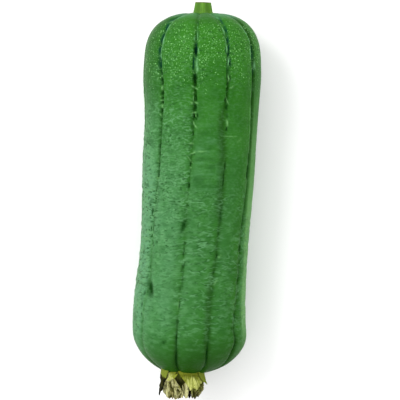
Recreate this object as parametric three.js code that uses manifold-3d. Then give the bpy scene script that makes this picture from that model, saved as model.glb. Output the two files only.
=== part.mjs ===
// A short, smooth ridge gourd as picked: the fruit, its cut stalk, and the calyx and withered
// petals that stay on its blossom end. It lies on its side, on a narrow flat along its belly.
//
// Millimetres, +Z up. The fruit lies along Y with its stalk towards +Y. The origin is on the
// surface that it lies on, under the middle of its length. Angles round the fruit and round
// the flower are in degrees from straight up (+Z) towards +X. "Share" is a share of the
// fruit's length, from 0 at the stalk end to 1 at the blossom end.

import * as THREE from "three";
import { mergeVertices } from "three/addons/utils/BufferGeometryUtils.js";
import Module from "manifold-3d";

const { lerp, smoothstep, degToRad, radToDeg } = THREE.MathUtils;
const wasm = await Module();
wasm.setup();

// ---------------------------------------------------------------- driving dimensions

// Fruit
const FRUIT_LENGTH = 232;
const GIRTH = [ // [share, radius over the crowns of the lobes]
  [-0.1, 37.4], [0.1, 37.4], [0.18, 38.1], [0.28, 36.6], [0.44, 36.1], [0.64, 34.9], [0.82, 36.5],
  [1.1, 36.7],
];
const STALK_DOME = { depth: 32, power: 2.7 };
const STALK_DIMPLE = 1.0; // depth of the hollow that the stalk stands in
const STALK_DIMPLE_RADIUS = [4, 14];
const BLOSSOM_DOME = { depth: 28, power: 1.9 };
const FLAT_DEPTH = 0.8; // how far the belly is pressed flat where it lies

// Centreline: a lazy S in plan, [share, X]; the flower's scar is off the middle of its dome
const CENTRELINE = [
  [0, 4.1], [0.22, 3.8], [0.4, 2.0], [0.52, 0.6], [0.68, -1.9], [0.8, -4.3], [0.86, -4.4],
  [0.93, -3.6], [0.97, -4.1], [1, -5.6],
];

// Lobes and the furrows between them
const FURROW_ANGLES = [-46, -9, 26, 61, 95, 129, 162, 198, 234, 274, 314];
const FURROW_TWIST = -5; // degrees that the furrows turn over the whole length
const END_TURNS = [-29, -13, 12, 5, 0, 0, 0, -5, -12, -21, -29]; // degrees more that each turns
const END_TURNS_FROM = 0.86; // share of the length where they start; they end at the scar
const LOBE_STEPS = [0, 0.08, 0.22, 0.41, 0.59, 0.78, 0.92]; // shares of a lobe's width
const LOBE_SAG = [[0, 1.9], [0.2, 1.5], [0.45, 0.8], [0.8, 0.7], [1, 1.3]]; // [share, depth]
const CREASE_DEPTH = [[0, 1.2], [0.2, 1.5], [0.45, 1.0], [0.8, 0.7], [1, 1.0]];
const CREASE_HALF_WIDTH = 1.5;
const PIT_SHARE = 0.45; // how much of the crease's depth comes and goes along it
const PIT_WAVES = 11; // along the length
const PIT_SHIFT = 0.37; // of a wave, from one furrow to the next
const RELIEF_RADIUS = [5, 22]; // lobes fade out towards the stalk and the scar
const FRUIT_ROWS = 50;

// Stalk
const STALK_LENGTH = 7.5; // from the bottom of its hollow
const STALK_SHIFT = 0.35; // how far it stands to +X of the fruit's middle
const STALK_TOP_RADIUS = 4.85;
const STALK_FOOT_RADIUS = 6;
const STALK_SPREAD = 0.5; // how much wider than its taper the foot is
const STALK_FLARE = 2.2; // height over which the foot spreads
const STALK_FLARE_STEPS = [0, 0.15, 0.3, 0.55, 1]; // shares of that height
const STALK_ANGLES = 5;
const STALK_ANGLE_SIDES = 8; // flat sides that round off each angle
const STALK_ANGLE_RISE = 0.35;
const STALK_BEVEL = 0.25;
const STALK_SUNK = 2; // below the hollow's bottom, cut away again by the fruit's room
const PITH_SHARE = 0.45; // of the stalk's radius
const PITH_DEPTH = 0.4;

// Flower, measured outwards from the blossom end
const FLOWER_SHIFT = -2.3; // in X, from the scar
const CALYX_RADIUS = 13.7;
const CALYX_DISC = [ // [radius, reach]; its sunk part is cut away again by the fruit's room
  [0, -8], [12.7, -8], [CALYX_RADIUS, -2], [CALYX_RADIUS, 0.4], [13, 1.3], [8.7, 1.3], [0, 1.3],
];
const SEPALS = [ // angle, reach away from the fruit, spread of the tip, width
  { angle: -84, reach: 12.4, spread: 15.9, width: 4.8 },
  { angle: -8, reach: 3.4, spread: 15.2, width: 4.0 },
  { angle: 74, reach: 6.2, spread: 15.6, width: 4.8 },
  { angle: 140, reach: 11.0, spread: 15.4, width: 4.8 },
  { angle: 206, reach: 9.0, spread: 15.0, width: 4.4 },
];
const SEPAL_THICKNESS = 0.9;
const SEPAL_FOOT = 0.2; // reach
const SEPAL_TIP_WIDTH = 0.5;
const SEPAL_TAPER = 1.6; // higher keeps a sepal wide for longer
const SEPAL_SPREAD_POWER = 0.8; // lower spreads it sooner
const SEPAL_CUP = 0.5; // how far its middle stands out
const PETALS = [ // angle, reach away from the fruit, widest radius, radius at the tip
  { angle: -44, reach: 15.0, widest: 12.4, tip: 9.6 },
  { angle: 32, reach: 14.4, widest: 12.3, tip: 10.2 },
  { angle: 104, reach: 13.2, widest: 12.2, tip: 8.6 },
  { angle: 175, reach: 14.6, widest: 12.4, tip: 9.8 },
  { angle: 246, reach: 13.8, widest: 12.2, tip: 9.2 },
];
const PETAL_ROOT_RADIUS = 11;
const PETAL_FOOT = 1.8; // reach
const PETAL_SWELL_END = 0.5; // share of the length where a petal is widest
const PETAL_CURL = [0.5, 1.1]; // shares of the length between which it curls in
const PETAL_HALF_SPANS = [[0, 34], [0.5, 39], [1, 33]]; // [length, degrees]
const PETAL_THICKNESS = 1.1;
const PETAL_FOLDS = 3; // across a petal
const FOLD_STEPS = 4; // across a fold
const FOLD_DEPTH = 1.7; // at the tip
const TIP_ROUNDING = 1.8;
const TIP_NOTCH = 1.3; // between folds
const CORE = [ // [radius, reach] of the dried ring and style that the petals stand on
  [0, 1.6], [11.2, 1.6], [10.9, 2.6], [8, 3.6], [4.4, 5.5], [3.2, 9.5], [1.8, 10.8], [0, 11.2],
];

const GAP = 0.3; // between pieces that touch

// ---------------------------------------------------------------- materials

const MATERIALS = {
  fruit: new THREE.MeshStandardMaterial({ color: 0x3f8238, roughness: 0.5, metalness: 0 }),
  stalk: new THREE.MeshStandardMaterial({ color: 0x6c9a38, roughness: 0.55, metalness: 0 }),
  calyx: new THREE.MeshStandardMaterial({ color: 0x8f9a3c, roughness: 0.7, metalness: 0 }),
  petals: new THREE.MeshStandardMaterial({ color: 0xa9a868, roughness: 0.8, metalness: 0 }),
};

// ---------------------------------------------------------------- curves

// A value at a share of the length, from a smooth curve through [share, value] stations.
function along(stations, share) {
  const shares = stations.map((station) => station[0]);
  const values = stations.map((station) => station[1]);
  return new THREE.CubicInterpolant(shares, values, 1).evaluate(share)[0];
}

// The share of full girth at a distance from a dome's tip, as a superellipse.
function domeShare(distance, dome) {
  const inward = Math.max(0, 1 - distance / dome.depth);
  return (1 - inward ** dome.power) ** (1 / dome.power);
}

function profileRadius(share) {
  const fromStalk = share * FRUIT_LENGTH;
  const fromBlossom = FRUIT_LENGTH - fromStalk;
  return along(GIRTH, share) * domeShare(fromStalk, STALK_DOME) * domeShare(fromBlossom, BLOSSOM_DOME);
}

function profileY(share) {
  const isStalkEnd = share < 0.5;
  const hollow = isStalkEnd ? 1 - smoothstep(profileRadius(share), ...STALK_DIMPLE_RADIUS) : 0;
  return FRUIT_LENGTH * (0.5 - share) - STALK_DIMPLE * hollow;
}

// The outward normal of the profile, as [radial, along Y].
function profileNormal(share) {
  const step = 1e-4;
  const before = Math.max(0, share - step);
  const after = Math.min(1, share + step);
  const rise = profileRadius(after) - profileRadius(before);
  const run = profileY(before) - profileY(after);
  const length = Math.hypot(rise, run);
  return [run / length, rise / length];
}

function centreline(share) {
  return { x: along(CENTRELINE, share), z: along(GIRTH, share) - FLAT_DEPTH };
}

// ---------------------------------------------------------------- meshes and solids

// A closed skin of columns x rows on a sphere's mesh; place(column, rowShare) puts each vertex.
function closedSkin(columns, rows, place) {
  const geometry = new THREE.SphereGeometry(1, columns, rows);
  const position = geometry.getAttribute("position");
  for (let i = 0; i < position.count; i += 1) {
    const column = (i % (columns + 1)) % columns;
    const row = Math.floor(i / (columns + 1));
    position.setXYZ(i, ...place(column, row / rows));
  }
  return geometry;
}

// A thin closed blade on a grid; place(across, along, side) gives its points, with across
// from -1 to 1, along from 0 to 1, and side 0 for the outer face and 1 for the inner face.
function closedBlade(acrossSteps, alongSteps, place) {
  const points = [];
  const index = [];
  const at = (side, i, j) => (side * (alongSteps + 1) + j) * (acrossSteps + 1) + i;
  const quad = (a, b, c, d) => index.push(a, b, c, a, c, d);
  const end = acrossSteps;
  const tip = alongSteps;
  for (const side of [0, 1]) {
    for (let j = 0; j <= alongSteps; j += 1) {
      for (let i = 0; i <= acrossSteps; i += 1) {
        points.push(...place((2 * i) / acrossSteps - 1, j / alongSteps, side));
      }
    }
  }
  for (let j = 0; j < alongSteps; j += 1) {
    for (let i = 0; i < acrossSteps; i += 1) {
      quad(at(0, i, j), at(0, i, j + 1), at(0, i + 1, j + 1), at(0, i + 1, j));
      quad(at(1, i, j), at(1, i + 1, j), at(1, i + 1, j + 1), at(1, i, j + 1));
    }
    quad(at(0, 0, j), at(1, 0, j), at(1, 0, j + 1), at(0, 0, j + 1));
    quad(at(0, end, j), at(0, end, j + 1), at(1, end, j + 1), at(1, end, j));
  }
  for (let i = 0; i < acrossSteps; i += 1) {
    quad(at(0, i, 0), at(0, i + 1, 0), at(1, i + 1, 0), at(1, i, 0));
    quad(at(0, i, tip), at(1, i, tip), at(1, i + 1, tip), at(0, i + 1, tip));
  }
  return new THREE.BufferGeometry()
    .setAttribute("position", new THREE.Float32BufferAttribute(points, 3))
    .setIndex(index);
}

function solidOf(geometry) {
  const bare = geometry.clone();
  bare.deleteAttribute("normal");
  bare.deleteAttribute("uv");
  const merged = mergeVertices(bare, 1e-4);
  return new wasm.Manifold(
    new wasm.Mesh({
      numProp: 3,
      vertProperties: merged.getAttribute("position").array,
      triVerts: new Uint32Array(merged.index.array),
    }),
  );
}

function meshOf(name, solid, material) {
  const { vertProperties, triVerts } = solid.getMesh();
  const geometry = new THREE.BufferGeometry()
    .setAttribute("position", new THREE.BufferAttribute(vertProperties, 3))
    .setIndex(new THREE.BufferAttribute(triVerts, 1));
  geometry.computeVertexNormals();
  const mesh = new THREE.Mesh(geometry, material);
  mesh.name = name;
  return mesh;
}

// ---------------------------------------------------------------- fruit

const LOBES = FURROW_ANGLES.length - 1;

// The angle of a furrow at a share of the length, in degrees.
function furrowAngle(furrow, share) {
  const endTurn = END_TURNS[furrow] * smoothstep(share, END_TURNS_FROM, 1);
  return FURROW_ANGLES[furrow] + FURROW_TWIST * (share - 0.5) + endTurn;
}

// How far the skin lies below the crowns at a share of the length and of a lobe's width.
function relief(share, lobe, lobeShare) {
  const radius = profileRadius(share);
  const edge = Math.abs(2 * lobeShare - 1);
  const lobeSpan = degToRad(FURROW_ANGLES[lobe + 1] - FURROW_ANGLES[lobe]);
  const fromFurrow = ((1 - edge) / 2) * lobeSpan * radius;
  const furrow = (lobe + Math.round(lobeShare)) % LOBES;
  const wave = Math.sin(2 * Math.PI * (PIT_WAVES * share + PIT_SHIFT * furrow));
  const pits = 1 - PIT_SHARE * (0.5 + 0.5 * wave);
  const crease = along(CREASE_DEPTH, share) * pits * Math.exp(-((fromFurrow / CREASE_HALF_WIDTH) ** 2));
  return (along(LOBE_SAG, share) * edge ** 2 + crease) * smoothstep(radius, ...RELIEF_RADIUS);
}

// The fruit's skin, or that skin grown outwards on all sides to leave room round it.
function fruitSkin(growth) {
  return closedSkin(LOBES * LOBE_STEPS.length, FRUIT_ROWS, (column, rowShare) => {
    const share = 0.5 - 0.5 * Math.cos(Math.PI * rowShare);
    const lobe = Math.floor(column / LOBE_STEPS.length);
    const lobeShare = LOBE_STEPS[column % LOBE_STEPS.length];
    const angle = degToRad(lerp(furrowAngle(lobe, share), furrowAngle(lobe + 1, share), lobeShare));
    const outward = growth - relief(share, lobe, lobeShare);
    const [radial, lengthwise] = profileNormal(share);
    const isTip = rowShare === 0 || rowShare === 1;
    const radius = isTip ? 0 : profileRadius(share) + outward * radial;
    const centre = centreline(share);
    return [
      centre.x + radius * Math.sin(angle),
      profileY(share) + outward * (isTip ? Math.sign(0.5 - share) : lengthwise),
      centre.z + radius * Math.cos(angle),
    ];
  });
}

// Everything below the surface that the fruit lies on.
function belowSurface() {
  const size = 2 * FRUIT_LENGTH;
  return new THREE.BoxGeometry(size, size, size).translate(0, 0, -size / 2);
}

const fruitSolid = solidOf(fruitSkin(0)).subtract(solidOf(belowSurface()));
const fruitRoom = solidOf(fruitSkin(GAP));

// ---------------------------------------------------------------- stalk

// [height over the hollow's bottom, share of the side's radius], from the hidden foot to the cut.
function stalkOutline() {
  const sideHeights = [
    -STALK_SUNK,
    ...STALK_FLARE_STEPS.map((step) => step * STALK_FLARE),
    (STALK_FLARE + STALK_LENGTH) / 2,
    STALK_LENGTH - STALK_BEVEL,
  ];
  return [
    [-STALK_SUNK, 0],
    ...sideHeights.map((height) => [height, 1]),
    [STALK_LENGTH, 1 - STALK_BEVEL / STALK_TOP_RADIUS],
    [STALK_LENGTH - PITH_DEPTH, PITH_SHARE],
    [STALK_LENGTH - PITH_DEPTH, 0],
  ];
}

function stalkSkin() {
  const foot = centreline(0);
  const sides = STALK_ANGLE_SIDES * STALK_ANGLES;
  const outline = stalkOutline();
  const lastRow = outline.length - 1;
  return closedSkin(sides, lastRow, (column, rowShare) => {
    const [height, radiusShare] = outline[Math.round((1 - rowShare) * lastRow)];
    const turn = (2 * Math.PI * column) / sides;
    const taper = lerp(STALK_FOOT_RADIUS, STALK_TOP_RADIUS, height / STALK_LENGTH);
    const spread = STALK_SPREAD * (1 - smoothstep(height, 0, STALK_FLARE)) ** 2;
    const rib = STALK_ANGLE_RISE * Math.cos(STALK_ANGLES * turn);
    const radius = (taper + spread + rib) * radiusShare;
    return [
      foot.x + STALK_SHIFT + radius * Math.sin(turn),
      profileY(0) + height,
      foot.z + radius * Math.cos(turn),
    ];
  });
}

const stalkSolid = solidOf(stalkSkin()).subtract(fruitRoom);

// ---------------------------------------------------------------- flower

const SCAR = {
  x: centreline(1).x + FLOWER_SHIFT,
  y: profileY(1),
  z: centreline(1).z,
};

// A point of the flower, at a radius and angle round its axis and a reach away from the fruit.
function flowerPoint(radius, angle, reach) {
  return [
    SCAR.x + radius * Math.sin(degToRad(angle)),
    SCAR.y - reach,
    SCAR.z + radius * Math.cos(degToRad(angle)),
  ];
}

// A turned piece round the flower's axis, from [radius, reach] points that start and end on it.
function flowerTurning(outline, sides) {
  const lastRow = outline.length - 1;
  return closedSkin(sides, lastRow, (column, rowShare) => {
    const [radius, reach] = outline[Math.round(rowShare * lastRow)];
    return flowerPoint(radius, (360 * column) / sides - 90, reach);
  });
}

function sepalBlade(sepal) {
  return closedBlade(4, 6, (across, length, side) => {
    const taper = Math.cos((Math.PI / 2) * length ** SEPAL_TAPER);
    const width = sepal.width * taper + SEPAL_TIP_WIDTH;
    const cup = SEPAL_CUP * (1 - across ** 2);
    const bowl = lerp(CALYX_RADIUS, sepal.spread, length ** SEPAL_SPREAD_POWER);
    const radius = bowl + cup - side * SEPAL_THICKNESS;
    const angle = sepal.angle + radToDeg((across * width) / 2 / radius);
    return flowerPoint(radius, angle, lerp(SEPAL_FOOT, sepal.reach, length));
  });
}

function petalBlade(petal) {
  return closedBlade(FOLD_STEPS * PETAL_FOLDS, 7, (across, length, side) => {
    const swell = Math.sin((Math.PI / 2) * Math.min(1, length / PETAL_SWELL_END));
    const curl = smoothstep(length, ...PETAL_CURL);
    const bowl = lerp(lerp(PETAL_ROOT_RADIUS, petal.widest, swell), petal.tip, curl);
    const fold = 0.5 - 0.5 * Math.cos(PETAL_FOLDS * Math.PI * (across + 1));
    const edge = TIP_ROUNDING * across ** 2 + TIP_NOTCH * fold;
    return flowerPoint(
      bowl - FOLD_DEPTH * length * fold - side * PETAL_THICKNESS,
      petal.angle + along(PETAL_HALF_SPANS, length) * across,
      lerp(PETAL_FOOT, petal.reach, length) - edge * length ** 2,
    );
  });
}

const calyxSolid = SEPALS
  .map((sepal) => solidOf(sepalBlade(sepal)))
  .reduce((whole, sepal) => whole.add(sepal), solidOf(flowerTurning(CALYX_DISC, 40)))
  .subtract(fruitRoom);

const petalsSolid = PETALS
  .map((petal) => solidOf(petalBlade(petal)))
  .reduce((whole, petal) => whole.add(petal), solidOf(flowerTurning(CORE, 24)));

// ---------------------------------------------------------------- scene graph

const gourd = new THREE.Group();
gourd.add(
  meshOf("fruit", fruitSolid, MATERIALS.fruit),
  meshOf("stalk", stalkSolid, MATERIALS.stalk),
  meshOf("calyx", calyxSolid, MATERIALS.calyx),
  meshOf("withered_petals", petalsSolid, MATERIALS.petals),
);

export default gourd;
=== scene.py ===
"""The looks of a short, smooth ridge gourd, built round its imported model.

The gourd lies on its side with its stalk towards +Y. The part's lengths are in millimetres,
the studio's are in metres, and angles are in degrees unless a docstring says radians. Meshes
are made in metres. Angles round the fruit and round the flower start from straight up (+Z)
and grow towards +X. "Share" is a share of the fruit's length, from 0 at the stalk end to 1
at the blossom end.
"""

import logging
import math
from dataclasses import dataclass, field
from enum import Enum
from functools import partial
from itertools import product
from typing import Callable

import bpy
import numpy as np
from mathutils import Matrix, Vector


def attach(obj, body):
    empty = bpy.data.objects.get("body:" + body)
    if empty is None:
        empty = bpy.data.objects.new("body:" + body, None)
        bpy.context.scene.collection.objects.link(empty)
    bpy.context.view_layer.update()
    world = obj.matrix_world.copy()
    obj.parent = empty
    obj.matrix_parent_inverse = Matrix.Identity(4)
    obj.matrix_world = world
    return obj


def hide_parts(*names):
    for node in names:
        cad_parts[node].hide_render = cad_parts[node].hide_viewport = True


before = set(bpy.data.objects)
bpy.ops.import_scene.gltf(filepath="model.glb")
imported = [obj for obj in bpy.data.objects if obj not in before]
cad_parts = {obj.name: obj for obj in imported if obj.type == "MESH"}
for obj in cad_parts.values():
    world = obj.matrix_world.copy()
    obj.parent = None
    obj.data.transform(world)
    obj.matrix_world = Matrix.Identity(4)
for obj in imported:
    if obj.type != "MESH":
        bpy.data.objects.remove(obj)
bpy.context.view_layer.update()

ROOT = "root"
MM = 0.001

Array = np.ndarray
Masks = dict[str, np.ndarray]
Socket = bpy.types.NodeSocket
Faces = list[list[int]]
Triple = tuple[float, float, float]
Colour = Triple
Pair = tuple[float, float]
Stations = tuple[Pair, ...]
Edges = tuple[float, float, float, float]

log = logging.getLogger("gourd")


# ---- numbers


def smooth(value: Array, low: float, high: float) -> Array:
    """Ease from 0 where value is low to 1 where it is high. High may lie below low."""
    t = np.clip((value - low) / (high - low), 0.0, 1.0)
    return t * t * (3.0 - 2.0 * t)


def band(value: Array, edges: Edges) -> Array:
    """Ease from 0 to 1 between the first two edges and back to 0 between the last two."""
    rise_from, rise_to, fall_from, fall_to = edges
    return smooth(value, rise_from, rise_to) * smooth(value, fall_to, fall_from)


def bell(value: Array, width: float, power: float = 2.0) -> Array:
    """A bump of height 1 round 0, flatter on top and steeper at its sides as power grows."""
    return np.exp(-(np.abs(value / width) ** power))


def points_at(*coordinates: Array) -> Array:
    """Points with these coordinates along their last axis, all stretched to one shape."""
    return np.stack(np.broadcast_arrays(*coordinates), -1)


@dataclass(frozen=True)
class Curve:
    """A smooth curve through a few stations.

    Attributes:
        stations: (place, value) pairs, in order of place.
    """

    stations: Stations

    def at(self, place: Array) -> Array:
        """Read the curve.

        Args:
            place: Where to read it. Places past either end read that end.

        Returns:
            The curve's values, in place's shape.
        """
        knots, values = np.array(self.stations, float).T
        secants = np.diff(values) / np.diff(knots)
        slopes = np.concatenate([[0.0], (secants[1:] + secants[:-1]) / 2, [0.0]])
        clamped = np.clip(place, knots[0], knots[-1])
        i = np.clip(np.searchsorted(knots, clamped, side="right") - 1, 0, len(knots) - 2)
        width = knots[i + 1] - knots[i]
        t = (clamped - knots[i]) / width
        ease = t * t * (3 - 2 * t)
        leave = t * (1 - t) ** 2 * width * slopes[i]
        arrive = t * t * (t - 1) * width * slopes[i + 1]
        return values[i] * (1 - ease) + values[i + 1] * ease + leave + arrive


@dataclass(frozen=True)
class Noise:
    """Smooth, repeatable random values over a plane or a space.

    Attributes:
        seed: Picks one pattern. The same seed always gives the same pattern.
    """

    seed: int
    table_size: int = 4096

    def at(self, points: Array, octaves: int = 1) -> Array:
        """Read the pattern.

        Args:
            points: Places, with their coordinates along the last axis. Values are about one
                coordinate unit apart.
            octaves: How many layers to add, each of half the size and half the strength.

        Returns:
            Values from about -1 to 1, one for each place.
        """
        total = self._layer(points)
        for octave in range(1, octaves):
            total = total + self._layer(points * 2**octave + 31.7 * octave) / 2**octave
        return total

    def _layer(self, points: Array) -> Array:
        """One layer of the pattern.

        Args:
            points: Places, with their coordinates along the last axis.

        Returns:
            Values from -1 to 1, one for each place.
        """
        table = np.random.default_rng(self.seed).uniform(-1, 1, self.table_size)
        cell = np.floor(points).astype(np.int64)
        part = points - cell
        weight = part**3 * (part * (6 * part - 15) + 10)
        primes = (73856093, 19349663, 83492791)
        total = np.zeros(points.shape[:-1])
        for corner in product((0, 1), repeat=points.shape[-1]):
            key = np.zeros(points.shape[:-1], np.int64)
            share = np.ones(points.shape[:-1])
            for axis, step in enumerate(corner):
                key = key ^ ((cell[..., axis] + step) * primes[axis])
                share = share * (weight[..., axis] if step else 1 - weight[..., axis])
            total += table[key % self.table_size] * share
        return total


# ---- meshes


def make_piece(name: str, points: Array, faces: Faces, masks: Masks) -> bpy.types.Object:
    """Make a smooth-shaded object in the part's frame.

    Args:
        name: The piece's name.
        points: Its vertices, in millimetres, one to a row.
        faces: Vertex numbers of each face.
        masks: Numbers for each vertex that its material reads, by name.

    Returns:
        The new object.
    """
    mesh = bpy.data.meshes.new(name)
    mesh.from_pydata((points * MM).tolist(), [], faces)
    mesh.polygons.foreach_set("use_smooth", [True] * len(mesh.polygons))
    for mask_name, values in masks.items():
        mask = mesh.attributes.new(mask_name, "FLOAT", "POINT")
        mask.data.foreach_set("value", values.astype(np.float32).ravel())
    mesh.update()
    piece = bpy.data.objects.new(name, mesh)
    bpy.context.scene.collection.objects.link(piece)
    return piece


def ring_angles(columns: int) -> Array:
    """Even angles round a circle, in radians, as 1 x columns."""
    return np.linspace(0, 2 * math.pi, columns, endpoint=False)[None]


def ring_faces(rows: int, columns: int) -> Faces:
    """Faces of a tube of rows x columns vertices that closes round, facing outwards.

    Args:
        rows: Rings of vertices.
        columns: Vertices in a ring.

    Returns:
        The quads' vertex numbers.
    """
    row = np.arange(rows - 1)[:, None] * columns
    here = np.arange(columns)[None, :]
    there = (here + 1) % columns
    quads = np.stack([row + here, row + columns + here, row + columns + there, row + there], -1)
    return quads.reshape(-1, 4).tolist()


def capped_tube(rings: Array, ends: Array) -> tuple[Array, Faces]:
    """Close a tube of rings with a fan at each end.

    Args:
        rings: Points as rows x columns x 3.
        ends: The point before the first ring and the point after the last one.

    Returns:
        The vertices, with the two ends last, and the faces.
    """
    rows, columns, _ = rings.shape
    points = np.concatenate([rings.reshape(-1, 3), ends])
    first_end = rows * columns
    last_end = first_end + 1
    last_row = first_end - columns
    faces = ring_faces(rows, columns)
    for i in range(columns):
        j = (i + 1) % columns
        faces.append([first_end, i, j])
        faces.append([last_end, last_row + j, last_row + i])
    return points, faces


def make_ringed_piece(name: str, rings: Array, masks: Masks) -> bpy.types.Object:
    """Make a closed piece from rings of points, with a point in the middle of both end rings.

    Args:
        name: The piece's name.
        rings: Points as rows x columns x 3.
        masks: Numbers for each point of the rings, by name, as rows x columns.

    Returns:
        The new object.
    """
    points, faces = capped_tube(rings, np.array([rings[0].mean(0), rings[-1].mean(0)]))
    whole = {}
    for mask_name, mask in masks.items():
        whole[mask_name] = np.concatenate([mask.ravel(), [mask[0].mean(), mask[-1].mean()]])
    return make_piece(name, points, faces, whole)


def sheet_faces(rows: int, columns: int) -> Faces:
    """Faces of a closed sheet whose outer grid of vertices comes before its inner one.

    Args:
        rows: Vertices along the sheet.
        columns: Vertices across the sheet.

    Returns:
        The quads' vertex numbers, over both sides and round the rim.
    """
    grid = np.arange(rows * columns).reshape(rows, columns)
    outer = np.stack([grid[:-1, :-1], grid[1:, :-1], grid[1:, 1:], grid[:-1, 1:]], -1).reshape(-1, 4)
    faces = outer.tolist() + (outer[:, ::-1] + rows * columns).tolist()
    rim = np.concatenate([grid[0, :-1], grid[:-1, -1], grid[-1, :0:-1], grid[:0:-1, 0]])
    for a, b in zip(rim, np.roll(rim, -1)):
        faces.append([int(a), int(b), int(b + rows * columns), int(a + rows * columns)])
    return faces


# ---- finishes


class Shader:
    """A material in the making: its surface and the nodes that feed it."""

    def __init__(self, name: str) -> None:
        """Start a material.

        Args:
            name: The material's name.
        """
        self.material = bpy.data.materials.new(name)
        self.material.use_nodes = True
        self.nodes = self.material.node_tree.nodes
        self.links = self.material.node_tree.links
        self.surface = self.nodes["Principled BSDF"]

    def node(self, kind: str, inputs: dict[str, object], **settings: object) -> bpy.types.Node:
        """Add a node.

        Args:
            kind: The node's Blender type.
            inputs: What each input takes: a value, or another node's output.
            **settings: The node's own properties.

        Returns:
            The new node.
        """
        made = self.nodes.new(kind)
        for name, value in settings.items():
            setattr(made, name, value)
        for name, value in inputs.items():
            self.feed(made.inputs[name], value)
        return made

    def feed(self, socket: Socket, value: object) -> None:
        """Link an output to a socket, or set the socket's own value.

        Args:
            socket: The input to feed.
            value: A node's output, a colour or a number.
        """
        if isinstance(value, Socket):
            self.links.new(value, socket)
        elif isinstance(value, tuple) and socket.type == "RGBA":
            socket.default_value = (*value, 1.0)
        else:
            socket.default_value = value

    def place(self, stretch: Triple = (1.0, 1.0, 1.0)) -> Socket:
        """The place on the piece, in metres, with each axis scaled by stretch."""
        here = self.node("ShaderNodeTexCoord", {}).outputs["Object"]
        return self.node("ShaderNodeMapping", {"Vector": here, "Scale": stretch}).outputs["Vector"]

    def noise(self, size: float, detail: float = 2.0, stretch: Triple = (1.0, 1.0, 1.0)) -> Socket:
        """A soft random pattern from 0 to 1, of this size in millimetres, finer where stretched."""
        inputs = {"Vector": self.place(stretch), "Scale": 1 / (size * MM), "Detail": detail}
        return self.node("ShaderNodeTexNoise", inputs).outputs["Fac"]

    def mask(self, name: str) -> Socket:
        """The numbers that the mesh holds for each vertex under this name."""
        return self.node("ShaderNodeAttribute", {}, attribute_name=name).outputs["Fac"]

    def math(self, operation: str, a: object, b: object = 0.0) -> Socket:
        """Do one sum.

        Args:
            operation: The sum's Blender name.
            a: Its first number or output.
            b: Its second number or output, if it has one.

        Returns:
            The result's output.
        """
        made = self.node("ShaderNodeMath", {}, operation=operation)
        self.feed(made.inputs[0], a)
        self.feed(made.inputs[1], b)
        return made.outputs[0]

    def times(self, a: object, b: object) -> Socket:
        """The product of two numbers or outputs."""
        return self.math("MULTIPLY", a, b)

    def plus(self, a: object, b: object) -> Socket:
        """The sum of two numbers or outputs."""
        return self.math("ADD", a, b)

    def ramp(self, value: object, low: float, high: float, start: float = 0.0, end: float = 1.0) -> Socket:
        """Ease a value from one level to another.

        Args:
            value: The number or output to ease.
            low: Where the result leaves start.
            high: Where the result reaches end. It may lie below low.
            start: The first level.
            end: The last level.

        Returns:
            The eased value's output.
        """
        inputs = {"Value": value, "From Min": low, "From Max": high, "To Min": start, "To Max": end}
        made = self.node("ShaderNodeMapRange", inputs, interpolation_type="SMOOTHSTEP")
        return made.outputs["Result"]

    def mix(self, base: object, over: object, share: object) -> Socket:
        """Lay one colour over another.

        Args:
            base: The colour where share is 0.
            over: The colour where share is 1.
            share: How much of over shows.

        Returns:
            The mixed colour's output.
        """
        made = self.node("ShaderNodeMix", {}, data_type="RGBA")
        self.feed(made.inputs[0], share)
        self.feed(made.inputs[6], base)
        self.feed(made.inputs[7], over)
        return made.outputs[2]

    def bump(self, height: object, depth: float, normal: object = None) -> Socket:
        """Roughen the surface.

        Args:
            height: The height's pattern, from 0 to 1.
            depth: The height that 1 stands for, in millimetres.
            normal: The surface that is roughened further, if it is rough already.

        Returns:
            The rough surface's output.
        """
        inputs = {"Height": height, "Distance": depth * MM, "Strength": 1.0}
        if normal is not None:
            inputs["Normal"] = normal
        return self.node("ShaderNodeBump", inputs).outputs["Normal"]

    def finished(self, **sockets: object) -> bpy.types.Material:
        """Feed the surface and hand over the material.

        Args:
            **sockets: What each of the surface's sockets takes, by its name with _ for a space.

        Returns:
            The finished material.
        """
        for name, value in sockets.items():
            self.feed(self.surface.inputs[name.replace("_", " ")], value)
        return self.material


def linear(red: int, green: int, blue: int) -> Colour:
    """A screen colour, from 0 to 255 a channel, as the light that a shader works in."""
    channels = [channel / 255 for channel in (red, green, blue)]
    return tuple(((c + 0.055) / 1.055) ** 2.4 if c > 0.04 else c / 12.92 for c in channels)


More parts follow.
